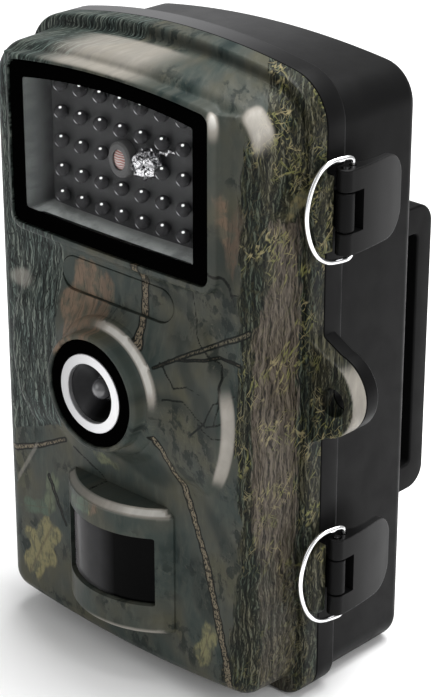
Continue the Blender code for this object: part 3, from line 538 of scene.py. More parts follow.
class Shader:
    """A node material round one Principled shader."""

    def __init__(self, name, colour, roughness, metallic=0.0):
        self.material = bpy.data.materials.new(name)
        self.material.use_nodes = True
        self.tree = self.material.node_tree
        self.main = self.tree.nodes["Principled BSDF"]
        self.put("Base Color", (*colour, 1.0))
        self.put("Roughness", roughness)
        self.put("Metallic", metallic)

    def put(self, name, value):
        if isinstance(value, bpy.types.NodeSocket):
            self.tree.links.new(value, self.main.inputs[name])
        else:
            self.main.inputs[name].default_value = value

    def node(self, kind, inputs, output=0, **settings):
        made = self.tree.nodes.new("ShaderNode" + kind)
        for key, value in settings.items():
            setattr(made, key, value)
        for key, value in inputs.items():
            if isinstance(value, bpy.types.NodeSocket):
                self.tree.links.new(value, made.inputs[key])
            else:
                made.inputs[key].default_value = value
        return made.outputs[output]

    def math(self, operation, a, b=0.0):
        return self.node("Math", {0: a, 1: b}, operation=operation)

    def range(self, value, low, high, start=0.0, end=1.0):
        return self.node("MapRange", {"Value": value, "From Min": low, "From Max": high,
                                      "To Min": start, "To Max": end},
                         interpolation_type="SMOOTHSTEP")

    def mix(self, factor, a, b, blend="MIX"):
        made = self.tree.nodes.new("ShaderNodeMix")
        made.data_type = "RGBA"
        made.blend_type = blend
        for socket, value in ((made.inputs[0], factor), (made.inputs[6], a), (made.inputs[7], b)):
            if isinstance(value, bpy.types.NodeSocket):
                self.tree.links.new(value, socket)
            elif isinstance(value, tuple):
                socket.default_value = (*value, 1.0)
            else:
                socket.default_value = value
        return made.outputs[2]

    def ramp(self, factor, stops):
        made = self.tree.nodes.new("ShaderNodeValToRGB")
        elements = made.color_ramp.elements
        while len(elements) < len(stops):
            elements.new(0.5)
        for element, (place, colour) in zip(elements, stops):
            element.position = place
            element.color = (*colour, 1.0)
        self.tree.links.new(factor, made.inputs[0])
        return made.outputs[0]

    def field(self, name, output="Fac"):
        made = self.tree.nodes.new("ShaderNodeAttribute")
        made.attribute_name = name
        return made.outputs[output]

    def place(self):
        return self.node("TexCoord", {}, "Object")

    def part(self, vector, axis):
        return self.node("SeparateXYZ", {0: vector}, axis)

    def facing_up(self, low, high):
        return self.range(self.part(self.node("TexCoord", {}, "Normal"), 2), low, high)

    def gloss(self, low, high, specular=None):
        """Roughness that wanders between two values, and how strong the sheen is."""
        self.put("Roughness", self.range(self.noise(self.place(), 160.0, 4.0, 0.6), 0.3, 0.7,
                                         low, high))
        if specular is not None:
            self.put("Specular IOR Level", specular)

    def scaled(self, vector, scale):
        return self.node("VectorMath", {0: vector, 1: scale}, operation="MULTIPLY")

    def moved(self, vector, offset):
        return self.node("VectorMath", {0: vector, 1: offset}, operation="ADD")

    def noise(self, vector, scale, detail=3.0, rough=0.5, distortion=0.0, output="Fac"):
        return self.node("TexNoise", {"Vector": vector, "Scale": scale, "Detail": detail,
                                      "Roughness": rough, "Distortion": distortion}, output)

    def cells(self, vector, scale):
        made = self.tree.nodes.new("ShaderNodeTexVoronoi")
        made.feature = "DISTANCE_TO_EDGE"
        self.tree.links.new(vector, made.inputs["Vector"])
        made.inputs["Scale"].default_value = scale
        return made.outputs["Distance"]

    def bump(self, height, strength, distance):
        made = self.tree.nodes.new("ShaderNodeBump")
        made.inputs["Strength"].default_value = strength
        made.inputs["Distance"].default_value = distance * MM
        self.tree.links.new(height, made.inputs["Height"])
        self.tree.links.new(made.outputs[0], self.main.inputs["Normal"])


GRAIN_SCALE = 2600.0


def grained(name, colour, roughness, grain=1.0, spread=0.08, metallic=0.0,
            worn=0.12, specular=0.5):
    """A moulded or plated finish: fine grain, and slow changes of tone and gloss."""
    s = Shader(name, colour, roughness, metallic)
    where = s.place()
    slow = s.noise(where, 42.0, 3.0, 0.55)
    fine = s.noise(where, GRAIN_SCALE, 2.0, 0.6)
    light = tuple(min(1.0, channel * (1.0 + worn)) for channel in colour)
    dark = tuple(channel * (1.0 - worn) for channel in colour)
    s.put("Base Color", s.mix(slow, dark, light))
    s.gloss(max(0.02, roughness - spread), roughness + spread, specular)
    s.bump(fine, 0.35 * grain, 0.02)
    return s.material


def camouflage():
    s = Shader("camouflage_film", (0.04, 0.045, 0.038), 0.42)
    film = s.field("film", "Vector")
    warp = s.noise(s.scaled(film, (0.20, 0.10, 1.0)), 1.0, 3.0, 0.6, output="Color")
    warp = s.scaled(s.moved(warp, (-0.5, -0.5, 0.0)), (3.0, 3.0, 0.0))
    bent = s.moved(film, warp)

    def around(scale, offset=(0.0, 0.0, 0.0), detail=2.0, angle=0.0, flat=film):
        if angle:
            flat = s.node("VectorRotate", {"Vector": flat, "Angle": math.radians(angle)},
                          rotation_type="Z_AXIS")
        return s.noise(s.moved(s.scaled(flat, (*scale, 1.0)), offset), 1.0, detail, 0.55)

    def lines(noise, width, level=0.5):
        """Thin lines where a noise crosses a level."""
        return s.range(s.math("ABSOLUTE", s.math("SUBTRACT", noise, level)), 0.0, width, 1.0, 0.0)

    def over(first, second):
        return s.math("MAXIMUM", first, second)

    def both(first, second):
        return s.math("MULTIPLY", first, second)

    def raised(scale, step, reach, offset=(0.0, 0.0, 0.0), detail=2.0):
        """A printed relief: how far a pattern rises along a step, from -1 to 1."""
        here = around(scale, offset, detail, flat=bent)
        there = around(scale, offset, detail, flat=s.moved(bent, (*step, 0.0)))
        return s.range(s.math("SUBTRACT", here, there), -reach, reach, -1.0, 1.0)

    # the misty middle of the print
    soft = around((0.07, 0.05), detail=3.0)
    base = s.ramp(soft, [(0.30, (0.010, 0.018, 0.017)), (0.42, (0.034, 0.043, 0.038)),
                         (0.52, (0.046, 0.049, 0.040)), (0.62, (0.055, 0.054, 0.037)),
                         (0.74, (0.042, 0.046, 0.028))])
    wisps = around((0.55, 0.16), detail=4.0, flat=bent)
    base = s.mix(s.range(wisps, 0.45, 0.75, 0.0, 0.30), base, (0.095, 0.094, 0.078))
    base = s.mix(both(s.field("shade"), 0.62), base, (0.014, 0.019, 0.017))
    where = s.range(around((0.055, 0.06), (4.0, 9.0, 0.0)), 0.46, 0.58)
    litter = s.range(around((0.42, 0.26), (7.0, 2.0, 0.0), detail=6.0, flat=bent), 0.50, 0.57)
    base = s.mix(both(both(litter, where), 0.75), base, (0.008, 0.012, 0.011))
    chips = raised((0.55, 0.50), (0.20, 0.14), 0.20, (2.0, 2.0, 0.0), 4.0)
    base = s.mix(both(s.range(chips, 0.25, 0.95), both(where, 0.45)), base, (0.095, 0.092, 0.066))
    base = s.mix(both(s.range(chips, -0.25, -0.95), both(where, 0.60)), base,
                 (0.006, 0.009, 0.008))
    # bark: strands that run up the case, lit on one side and black on the other
    side = s.range(s.part(film, 0), -6.0, 14.0)
    coarse = raised((0.85, 0.15), (0.34, 0.10), 0.16, detail=3.0)
    small = raised((2.0, 0.42), (0.17, 0.06), 0.22, (5.0, 2.0, 0.0))
    strands = around((1.05, 0.17), detail=3.0, flat=bent)
    cracks = around((0.75, 0.17), (9.0, 4.0, 0.0), detail=3.0, flat=bent)
    patches = around((0.16, 0.07), (3.0, 8.0, 0.0))
    level = s.math("ADD", both(coarse, 0.75), both(small, 0.55))
    lit = s.range(level, 0.10, 0.85)
    sunk = over(s.range(level, -0.10, -0.80), lines(cracks, 0.035))
    glow = s.range(patches, 0.40, 0.60)
    ground = s.mix(side, s.mix(glow, (0.020, 0.028, 0.025), (0.036, 0.046, 0.040)),
                   s.mix(glow, (0.008, 0.011, 0.008), (0.018, 0.018, 0.011)))
    bright = s.mix(side, s.mix(glow, (0.090, 0.118, 0.105), (0.140, 0.158, 0.135)),
                   s.mix(glow, (0.050, 0.062, 0.046), (0.088, 0.084, 0.058)))
    bark = s.mix(lit, ground, bright)
    bark = s.mix(both(sunk, 0.93), bark, (0.0018, 0.0024, 0.002))
    # the brown trunk down the side
    trunk = s.mix(s.range(around((1.4, 0.30), (4.0, 1.0, 0.0), detail=3.0, flat=bent), 0.34, 0.66),
                  (0.034, 0.028, 0.021), (0.074, 0.061, 0.048))
    trunk = s.mix(both(lit, 0.55), trunk, (0.135, 0.115, 0.092))
    trunk = s.mix(both(s.range(level, -0.15, -0.80), 0.88), trunk, (0.006, 0.0055, 0.0045))
    lower = s.range(s.math("ADD", s.part(film, 1), both(patches, 50.0)), 75.0,
                    50.0)
    trunk = s.mix(both(lower, 0.6), trunk, bark)
    ragged = both(s.math("SUBTRACT", strands, 0.5), 5.0)
    in_trunk = s.range(s.math("ADD", s.field("trunk"), ragged), -0.5, 0.5)
    bark = s.mix(in_trunk, bark, trunk)
    # thin yellow-green twigs, mostly rising to the right, in open strokes
    rising = lines(around((0.62, 0.085), detail=1.0, angle=42.0, flat=bent), 0.036)
    steep = lines(around((0.80, 0.10), (6.0, 2.0, 0.0), 1.0, 20.0, bent), 0.038, 0.46)
    falling = lines(around((0.70, 0.11), (2.0, 7.0, 0.0), 1.0, -48.0, bent), 0.034, 0.53)
    broken = s.range(around((0.5, 0.5), (8.0, 3.0, 0.0)), 0.44, 0.56)
    sprays = s.range(around((0.10, 0.075), (1.0, 5.0, 0.0)), 0.47, 0.57)
    thin = over(both(rising, broken), over(both(steep, s.range(broken, 1.0, 0.0)),
                                           both(falling, both(broken, 0.8))))
    thin = both(both(thin, s.range(sprays, 0.0, 1.0, 0.12, 1.0)), side)
    thin = both(thin, s.range(lower, 0.0, 1.0, 1.0, 0.35))
    straw = s.mix(s.range(around((0.3, 0.3), (3.0, 1.0, 0.0)), 0.40, 0.60),
                  (0.125, 0.125, 0.045), (0.205, 0.175, 0.095))
    bark = s.mix(thin, bark, straw)
    in_bark = s.range(s.math("ADD", s.field("bark"), ragged), -0.4, 0.5)
    colour = s.mix(in_bark, base, bark)
    # leaves
    frill = both(s.math("SUBTRACT", wisps, 0.5), 3.0)
    in_leaf = s.range(s.math("ADD", s.field("leaf"), frill), -0.3, 0.7)
    blade = s.ramp(s.field("leaf_tone"), [(0.0, (0.180, 0.122, 0.082)), (0.2, (0.085, 0.060, 0.043)),
                                          (0.55, (0.185, 0.165, 0.080)), (0.8, (0.070, 0.098, 0.070)),
                                          (1.0, (0.050, 0.075, 0.056))])
    mottle = around((0.45, 0.35), detail=4.0, flat=bent)
    blade = s.mix(s.range(mottle, 0.44, 0.62, 0.0, 0.7), blade, (0.055, 0.061, 0.046))
    blade = s.mix(both(s.range(level, -0.2, -1.0), 0.5), blade, (0.015, 0.017, 0.012))
    rib = s.range(s.math("ABSOLUTE", s.field("vein")), 0.0, 0.09, 0.5, 0.0)
    blade = s.mix(rib, blade, (0.07, 0.055, 0.038))
    colour = s.mix(both(in_leaf, 0.85), colour, blade)
    # branches: black edges, a lit middle and black specks
    fine = around((6.0, 1.6), detail=3.0, flat=bent)
    wood = s.math("ADD", s.field("wood"), both(s.math("SUBTRACT", fine, 0.5), 0.22))
    in_wood = s.range(wood, -0.08, 0.08)
    wood_light = s.ramp(s.field("wood_tone"), [(0.0, (0.004, 0.005, 0.004)),
                                               (0.5, (0.075, 0.070, 0.048)),
                                               (0.8, (0.140, 0.115, 0.080)),
                                               (1.0, (0.145, 0.122, 0.084))])
    middle = s.range(wood, 0.22, 0.52)
    grain = s.mix(middle, (0.003, 0.004, 0.003), wood_light)
    specks = over(s.range(around((2.3, 1.5), (4.0, 4.0, 0.0)), 0.51, 0.55),
                  s.range(small, -0.2, -0.9))
    grain = s.mix(both(specks, 0.9), grain, (0.004, 0.005, 0.004))
    colour = s.mix(in_wood, colour, grain)
    # pale sheen along edges, drawn into the colour
    pale = both(s.range(s.field("pale"), 0.0, 1.0), s.range(wisps, 0.25, 0.6, 0.9, 0.72))
    whitest = s.range(s.field("pale"), 0.9, 1.9)
    colour = s.mix(pale, colour, s.mix(whitest, (0.30, 0.278, 0.245), (0.62, 0.60, 0.56)))
    s.put("Base Color", colour)
    s.put("Roughness", s.range(wisps, 0.3, 0.7, 0.38, 0.50))
    s.put("Specular IOR Level", 0.09)
    s.bump(level, 0.10, 0.05)
    return s.material


def clear(name, colour, alpha, roughness=0.03, specular=0.5):
    s = Shader(name, colour, roughness)
    s.put("Alpha", alpha)
    s.put("Specular IOR Level", specular)
    haze = s.noise(s.place(), 90.0, 3.0)
    s.put("Roughness", s.range(haze, 0.3, 0.7, roughness, roughness + 0.05))
    return s.material


def emitter_resin():
    """Smoky resin, with a painted crescent of light low down and a painted glint high up that glows."""
    s = Shader("emitter_resin", (0.02, 0.02, 0.022), 0.12)
    normal = s.node("NewGeometry", {}, "Normal")

    def facing(way):
        return s.node("VectorMath", {0: normal, 1: way}, "Value", operation="DOT_PRODUCT")

    cloud = s.noise(s.place(), 900.0, 2.0)
    # painted light: a pale crescent on the lower left of each dome, where light would gather in the
    # resin
    rim = s.math("MULTIPLY", s.range(facing((-0.50, -0.60, -0.62)), 0.80, 0.92),
                 s.range(cloud, 0.2, 0.6, 0.6, 1.0))
    # painted highlight: an emitted glint on the upper right of each dome
    glint = s.range(facing((0.36, -0.50, 0.79)), 0.976, 0.985)
    s.put("Base Color", s.mix(rim, (0.055, 0.055, 0.057), (0.80, 0.80, 0.83)))
    s.put("Specular IOR Level", 0.02)
    s.put("Emission Color", s.mix(glint, (0.0, 0.0, 0.0), (1.0, 1.0, 1.0)))
    s.put("Emission Strength", 1.0)
    return s.material


def graded(s, axis, near, far, first, last):
    """A slow change of colour along one of the object's axes, in millimetres."""
    way = s.range(s.part(s.place(), axis), near * MM, far * MM)
    return s.mix(way, first, last)


def tray_grey():
    """Grey-green plastic, with painted shade deepening towards the board and painted light on its lower
    wall.
    """
    s = Shader("tray_grey", (0.12, 0.13, 0.12), 0.5)
    # painted shade: darker towards the board at the back of the tray
    shade = graded(s, 1, -14.4 + SEAM_Y, -19.9 + SEAM_Y, (0.050, 0.051, 0.052), (0.17, 0.182, 0.178))
    haze = s.noise(s.scaled(s.place(), (1.0, 1.0, 2.5)), 130.0, 4.0, 0.6)
    # painted light: the upward-facing lower wall is drawn lighter, most towards the front
    up = s.facing_up(0.4, 0.9)
    shade = s.mix(up, shade, graded(s, 1, -14.4 + SEAM_Y, -18.4 + SEAM_Y, (0.30, 0.315, 0.305),
                                    (0.74, 0.78, 0.76)))
    s.put("Base Color", s.mix(s.range(haze, 0.40, 0.65, 0.0, 0.5), shade, (0.085, 0.092, 0.090)))
    s.put("Specular IOR Level", 0.05)
    return s.material


def funnel_black():
    """The lens mount's cone: satin black, with a painted sheen on its left side."""
    s = Shader("lens_funnel", (0.01, 0.01, 0.011), 0.38)
    # painted sheen: lighter bands on the left side of the cone
    across = s.range(s.part(s.place(), 0), -6.0 * MM, 3.0 * MM)
    shade = s.ramp(across, [(0.0, (0.022, 0.022, 0.023)), (0.20, (0.055, 0.055, 0.057)),
                            (0.50, (0.012, 0.012, 0.013)), (0.8, (0.0008, 0.0008, 0.0008))])
    fine = s.noise(s.place(), 1500.0, 2.0)
    s.put("Base Color", s.mix(s.math("MULTIPLY", fine, 0.2), shade, (0.004, 0.004, 0.004)))
    s.put("Specular IOR Level", 0.04)
    return s.material


def case_black():
    """Matt black plastic with a fine grain, and a painted highlight along its top, brightest on the
    flange's lip.
    """
    s = Shader("case_black", (0.008, 0.008, 0.008), 0.42)
    where = s.place()
    slow = s.noise(where, 42.0, 3.0, 0.55)
    black = s.mix(slow, (0.0035, 0.0035, 0.0036), (0.0058, 0.0058, 0.0060))
    # painted highlight: upward faces near the top, growing towards the left, lighter still on the lip
    up = s.facing_up(0.55, 0.95)
    left = s.range(s.part(where, 0), 30.0 * MM, -14.0 * MM)
    lip = s.range(s.part(where, 1), (6.2 + SEAM_Y) * MM, (4.2 + SEAM_Y) * MM)
    high = s.range(s.part(where, 2), 0.110, 0.118)
    top = s.math("MULTIPLY", s.math("MULTIPLY", up, left), high)
    black = s.mix(top, black, (0.040, 0.040, 0.041))
    black = s.mix(s.math("MULTIPLY", top, lip), black, (0.090, 0.090, 0.092))
    s.put("Base Color", black)
    s.gloss(0.36, 0.50, 0.055)
    s.bump(s.noise(where, GRAIN_SCALE, 2.0, 0.6), 0.35, 0.02)
    return s.material


def lever_black():
    """Smoother black plastic, with painted light growing towards the free end of each lever."""
    s = Shader("lever_black", (0.02, 0.02, 0.02), 0.34)
    # painted light: darker by the knuckle, lighter towards the free end
    shade = graded(s, 1, 4.0 + SEAM_Y, 12.0 + SEAM_Y, (0.0045, 0.0045, 0.0046),
                   (0.0165, 0.0165, 0.0168))
    s.put("Base Color", s.mix(s.range(s.noise(s.place(), 60.0, 3.0), 0.3, 0.7, 0.0, 0.25), shade,
                              (0.005, 0.005, 0.005)))
    s.gloss(0.30, 0.38, 0.07)
    s.bump(s.noise(s.place(), GRAIN_SCALE, 2.0, 0.6), 0.15, 0.02)
    return s.material


def sensor_face():
    """The motion sensor's window: smoky, with a painted reflection towards its left."""
    s = Shader("sensor_window_black", (0.002, 0.002, 0.002), 0.16)
    where = s.place()
    # painted reflection: the window is drawn lighter towards its left
    across = s.range(s.part(where, 0), -12.0 * MM, 9.0 * MM)
    tone = s.ramp(across, [(0.0, (0.115, 0.110, 0.114)), (0.14, (0.050, 0.049, 0.050)),
                           (0.34, (0.034, 0.034, 0.035)), (0.58, (0.030, 0.030, 0.031)),
                           (0.84, (0.0006, 0.0006, 0.0006))])
    s.put("Base Color", s.mix(s.range(s.noise(where, 300.0, 2.0), 0.3, 0.7, 0.0, 0.12), tone,
                              (0.002, 0.002, 0.002)))
    s.put("Specular IOR Level", 0.03)
    return s.material


def board_face():
    s = Shader("circuit_board_mask", (0.03, 0.034, 0.038), 0.45)
    where = s.place()
    traces = s.cells(s.scaled(where, (1.0, 1.0, 1.4)), 420.0)
    line = s.range(traces, 0.0, 0.05, 1.0, 0.0)
    patch = s.range(s.noise(where, 110.0, 2.0), 0.48, 0.60)
    colour = s.mix(s.math("MULTIPLY", line, s.math("MULTIPLY", patch, 0.5)),
                   (0.064, 0.065, 0.066), (0.095, 0.098, 0.100))
    s.put("Base Color", colour)
    s.put("Specular IOR Level", 0.08)
    s.bump(line, 0.15, 0.03)
    return s.material


def crushed_foil():
    """Crushed bright metal, with painted reflections: light and dark creases drawn into its colour."""
    s = Shader("crushed_foil", (0.8, 0.8, 0.8), 0.14, 0.9)
    where = s.place()
    bent = s.moved(where, s.scaled(s.noise(where, 420.0, 3.0, 0.6, output="Color"),
                                   (0.0022, 0.0022, 0.0022)))
    creases = s.noise(bent, 760.0, 3.0, 0.6, 0.8)
    # painted reflection: light and dark facets drawn into the base colour
    s.put("Base Color", s.ramp(creases, [(0.38, (0.012, 0.012, 0.013)), (0.46, (0.16, 0.16, 0.17)),
                                         (0.52, (0.90, 0.90, 0.92)), (0.60, (0.30, 0.30, 0.31)),
                                         (0.66, (0.03, 0.03, 0.03)), (0.74, (0.75, 0.75, 0.77))]))
    s.bump(creases, 0.5, 0.12)
    return s.material


def light_cell():
    s = Shader("light_cell", (0.20, 0.10, 0.08), 0.25)
    where = s.place()
    snake = s.node("TexWave", {"Vector": where, "Scale": 620.0, "Distortion": 3.5, "Detail": 1.0,
                               "Detail Scale": 1.0}, "Fac", wave_type="BANDS",
                   bands_direction="Z")
    s.put("Base Color", s.mix(s.range(snake, 0.35, 0.6), (0.42, 0.36, 0.34), (0.30, 0.09, 0.07)))
    s.put("Coat Weight", 1.0)
    s.put("Coat Roughness", 0.05)
    return s.material


def spun_metal(name, colour, roughness, centre, axis_scale, left=1.0):
    """Metal turned on a lathe: fine rings about its middle, with painted shade on the left."""
    s = Shader(name, colour, roughness, 1.0)
    where = s.moved(s.place(), tuple(-value * MM for value in centre))
    where = s.scaled(where, axis_scale)
    rings = s.node("TexWave", {"Vector": where, "Scale": 900.0, "Distortion": 0.4},
                   "Fac", wave_type="RINGS", rings_direction="SPHERICAL")
    tone = s.mix(rings, tuple(0.9 * c for c in colour), colour)
    # painted shade: the metal is drawn darker towards the left
    painted_shade = graded(s, 0, -9.0, 7.0, (left, left, left), (1.0, 1.0, 1.0))
    s.put("Base Color", s.mix(1.0, tone, painted_shade, "MULTIPLY"))
    s.put("Roughness", s.range(rings, 0.0, 1.0, roughness - 0.04, roughness + 0.05))
    s.bump(rings, 0.05, 0.02)
    return s.material


def cell_sleeve():
    """A plain printed sleeve: a dark body and a copper-coloured end."""
    s = Shader("cell_sleeve", (0.03, 0.03, 0.035), 0.3)
    height = s.part(s.place(), 2)
    band = s.range(height, 0.0785, 0.0788)
    slow = s.noise(s.place(), 60.0, 3.0)
    dark = s.mix(slow, (0.020, 0.021, 0.025), (0.032, 0.033, 0.038))
    s.put("Base Color", s.mix(band, dark, (0.50, 0.27, 0.12)))
    s.put("Metallic", s.range(band, 0.0, 1.0, 0.1, 0.8))
    s.put("Coat Weight", 0.6)
    return s.material


def screen_face():
    s = Shader("screen_face", (0.008, 0.009, 0.012), 0.08)
    where = s.place()
    cells = s.noise(where, 3000.0, 1.0)
    s.put("Base Color", s.mix(cells, (0.006, 0.007, 0.010), (0.012, 0.014, 0.020)))
    s.put("Coat Weight", 1.0)
    s.put("Coat Roughness", 0.02)
    return s.material


def floor_face():
    s = Shader("floor_paper", (0.90, 0.90, 0.90), 0.75)
    soft = s.noise(s.place(), 6.0, 3.0)
    s.put("Base Color", s.mix(soft, (0.945, 0.945, 0.945), (0.96, 0.96, 0.96)))
    s.put("Specular IOR Level", 0.1)
    return s.material


FILM = camouflage()
BLACK = case_black()
LEVER_BLACK = lever_black()
GLOSS = grained("gloss_black", (0.0006, 0.0006, 0.0006), 0.30, grain=0.0, spread=0.02,
                specular=0.0)
SENSOR_BLACK = sensor_face()
FUNNEL = funnel_black()
GREY = grained("moulded_grey", (0.12, 0.12, 0.12), 0.5, specular=0.1)
TRAY = tray_grey()
BOARD = board_face()
RESIN = emitter_resin()
CELL = light_cell()
STEEL = grained("bright_steel", (0.78, 0.78, 0.79), 0.16, grain=0.5, metallic=1.0, worn=0.04,
                spread=0.05)
FOIL = crushed_foil()
WIRE = grained("bail_wire", (0.86, 0.86, 0.87), 0.22, grain=0.3, metallic=1.0, worn=0.03,
               spread=0.04)
SILVER = spun_metal("lens_trim_silver", (0.70, 0.70, 0.71), 0.50, (0.0, -25.8 + SEAM_Y, LENS_Z),
                    (1.0, 0.0, 1.0), 0.62)
BRASS = spun_metal("turned_brass", (0.70, 0.50, 0.20), 0.26, (0.0, 8.0 + SEAM_Y, 0.0),
                   (0.0, 0.0, 1.0))
RUBBER = grained("seal_rubber", (0.010, 0.010, 0.010), 0.75, grain=1.2, spread=0.05, specular=0.1)
WINDOW = clear("window_clear", (0.03, 0.03, 0.034), 0.05, 0.02, 0.02)
LENS = clear("lens_coated_glass", (0.10, 0.10, 0.105), 0.92, 0.06, 0.9)
SLEEVE = cell_sleeve()
SCREEN = screen_face()


def show(piece, body, slot, material, *nodes, angle=32.0):
    """Finish a piece and set it on its body, in place of the CAD nodes it stands for."""
    if angle:
        smooth(piece, angle)
    piece.data.materials.clear()
    piece.data.materials.append(material)
    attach(piece, body)
    if nodes:
        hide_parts(*nodes)


def dress(material, slot, *names, angle=32.0):
    """Give CAD nodes that are shown as they are a finish of their own."""
    for name in names:
        node = NODES[name]
        node.data.materials.clear()
        node.data.materials.append(material)
        smooth(node, angle)


# ---------------------------------------------------------------- the door's cover

def relief_height(x, z):
    """How far the moulded face stands proud of its flat, outwards positive."""
    reach = np.hypot(x, z - LENS_Z)
    rise = np.abs(z - LENS_Z)
    disc = 2.3 * (1.0 - step_between(29.2, 31.0, reach)) * (1.0 - step_between(9.0, 21.0, rise))
    aside = np.abs(x)
    lower_bank = 47.6 - 1.22 * np.maximum(aside - 21.6, 0.0)
    upper_rim = 50.3 - 0.56 * np.maximum(aside - 23.0, 0.0)
    sunk = 1.0 - step_between(0.0, 1.0, (z - lower_bank) / (upper_rim - lower_bank + 0.6))
    sunk *= step_between(12.0, 26.0, z) * step_between(13.0, 21.0, aside)
    over = step_between(84.5, 88.5, z + 0.5 * (aside - 24.0)) * (1.0 - step_between(93.0, 97.0, z))
    over *= step_between(14.0, 24.0, aside)
    edge_x = np.maximum(aside - 28.4, 0.0)
    edge_z = np.maximum(np.abs(z - 110.3) - 19.2, 0.0)
    skirt = 0.9 * (1.0 - step_between(0.0, 2.2, np.hypot(edge_x, edge_z)))
    boss = 1.1 * (1.0 - step_between(14.2, 17.0, reach))
    return disc - 1.2 * sunk - 0.7 * over + skirt + boss


def relief():
    """The face between the body's rounded edges, as one gently modelled slab."""
    pitch = 0.5 if FINE else 0.8
    across = np.arange(-31.5, 31.5 + pitch / 2, pitch)
    along = np.arange(7.0, 127.0 + pitch / 2, pitch)
    x, z = np.meshgrid(across, along)
    front = FACE - relief_height(x, z) - 0.02
    rows, columns = x.shape
    back = np.full(x.shape, FACE + 2.6)
    points = np.concatenate([np.stack([x, front, z], axis=-1).reshape(-1, 3),
                             np.stack([x, back, z], axis=-1).reshape(-1, 3)])
    faces = []
    layer = rows * columns
    for row in range(rows - 1):
        for column in range(columns - 1):
            a = row * columns + column
            faces.append((a, a + 1, a + columns + 1, a + columns))
            faces.append((layer + a, layer + a + columns, layer + a + columns + 1, layer + a + 1))
    rim = (list(range(columns))
           + [row * columns + columns - 1 for row in range(1, rows)]
           + [(rows - 1) * columns + column for column in range(columns - 2, -1, -1)]
           + [row * columns for row in range(rows - 2, 0, -1)])
    for here, after in zip(rim, rim[1:] + rim[:1]):
        faces.append((here, layer + here, layer + after, after))
    return add("relief", points, faces)


def body_profile():
    """The door body's wall, drawn in slightly, and its rounded front edge."""
    profile = [(-0.1, 1.5), (-0.1, -5.0), (0.25, -13.4)]
    for step in range(1, 11):
        angle = math.radians(9.0 * step)
        profile.append((0.25 + 4.0 * (1.0 - math.cos(angle)), -13.4 - 4.2 * math.sin(angle)))
    return profile


def hook(name, height):
    """The tab that a bail closes over, tapered in front so that the bail slides off it."""
    nose = [(-3.9, 7.1), (-4.5, 6.2), (-5.0, 5.0), (-5.4, 3.8), (-5.7, 2.0)]
    outline = ([(1.0, height + 7.0), (-3.0, height + 7.5)]
               + [(y, height + half) for y, half in nose]
               + [(y, height - half) for y, half in reversed(nose)]
               + [(-3.0, height - 7.8), (1.0, height - 8.0)])
    made = extrude(name, outline, [(0.0, 34.0), (0.0, 40.9)], "X")
    ramp = extrude(name + "_ramp", [(41.0, -4.4), (39.5, -5.8), (39.5, -7.0), (42.0, -7.0),
                                    (42.0, -4.4)], [(0.0, height - 9.0), (0.0, height + 9.0)], "Z")
    back = block(name + "_back", (35.0, 42.0), (-0.6, 2.0), (height - 9.0, height + 9.0))
    return carve(made, [ramp, back])


def door_knuckle(name, height):
    barrel = hinge_barrel(name, height)
    leaf = block(name + "_leaf", (HINGE_X, -36.5), (-2.2, -0.15), (height - 2.9, height + 2.9))
    return [barrel, leaf]


def bore(name, centre, span, radius, steps=48, axis="Y"):
    """A plain round bar along an axis, to cut a hole or to join a barrel."""
    low, high = span
    return turned(name, [(0.0, low), (radius, low), (radius, high), (0.0, high)], centre, axis,
                  steps)


def hinge_barrel(name, middle):
    """One rounded knuckle of a hinge."""
    return turned(name, [(0.0, middle - 2.9), (2.1, middle - 2.9), (2.3, middle - 2.7),
                         (2.3, middle + 2.7), (2.1, middle + 2.9), (0.0, middle + 2.9)],
                  (HINGE_X, 0.0), "Z", 40)


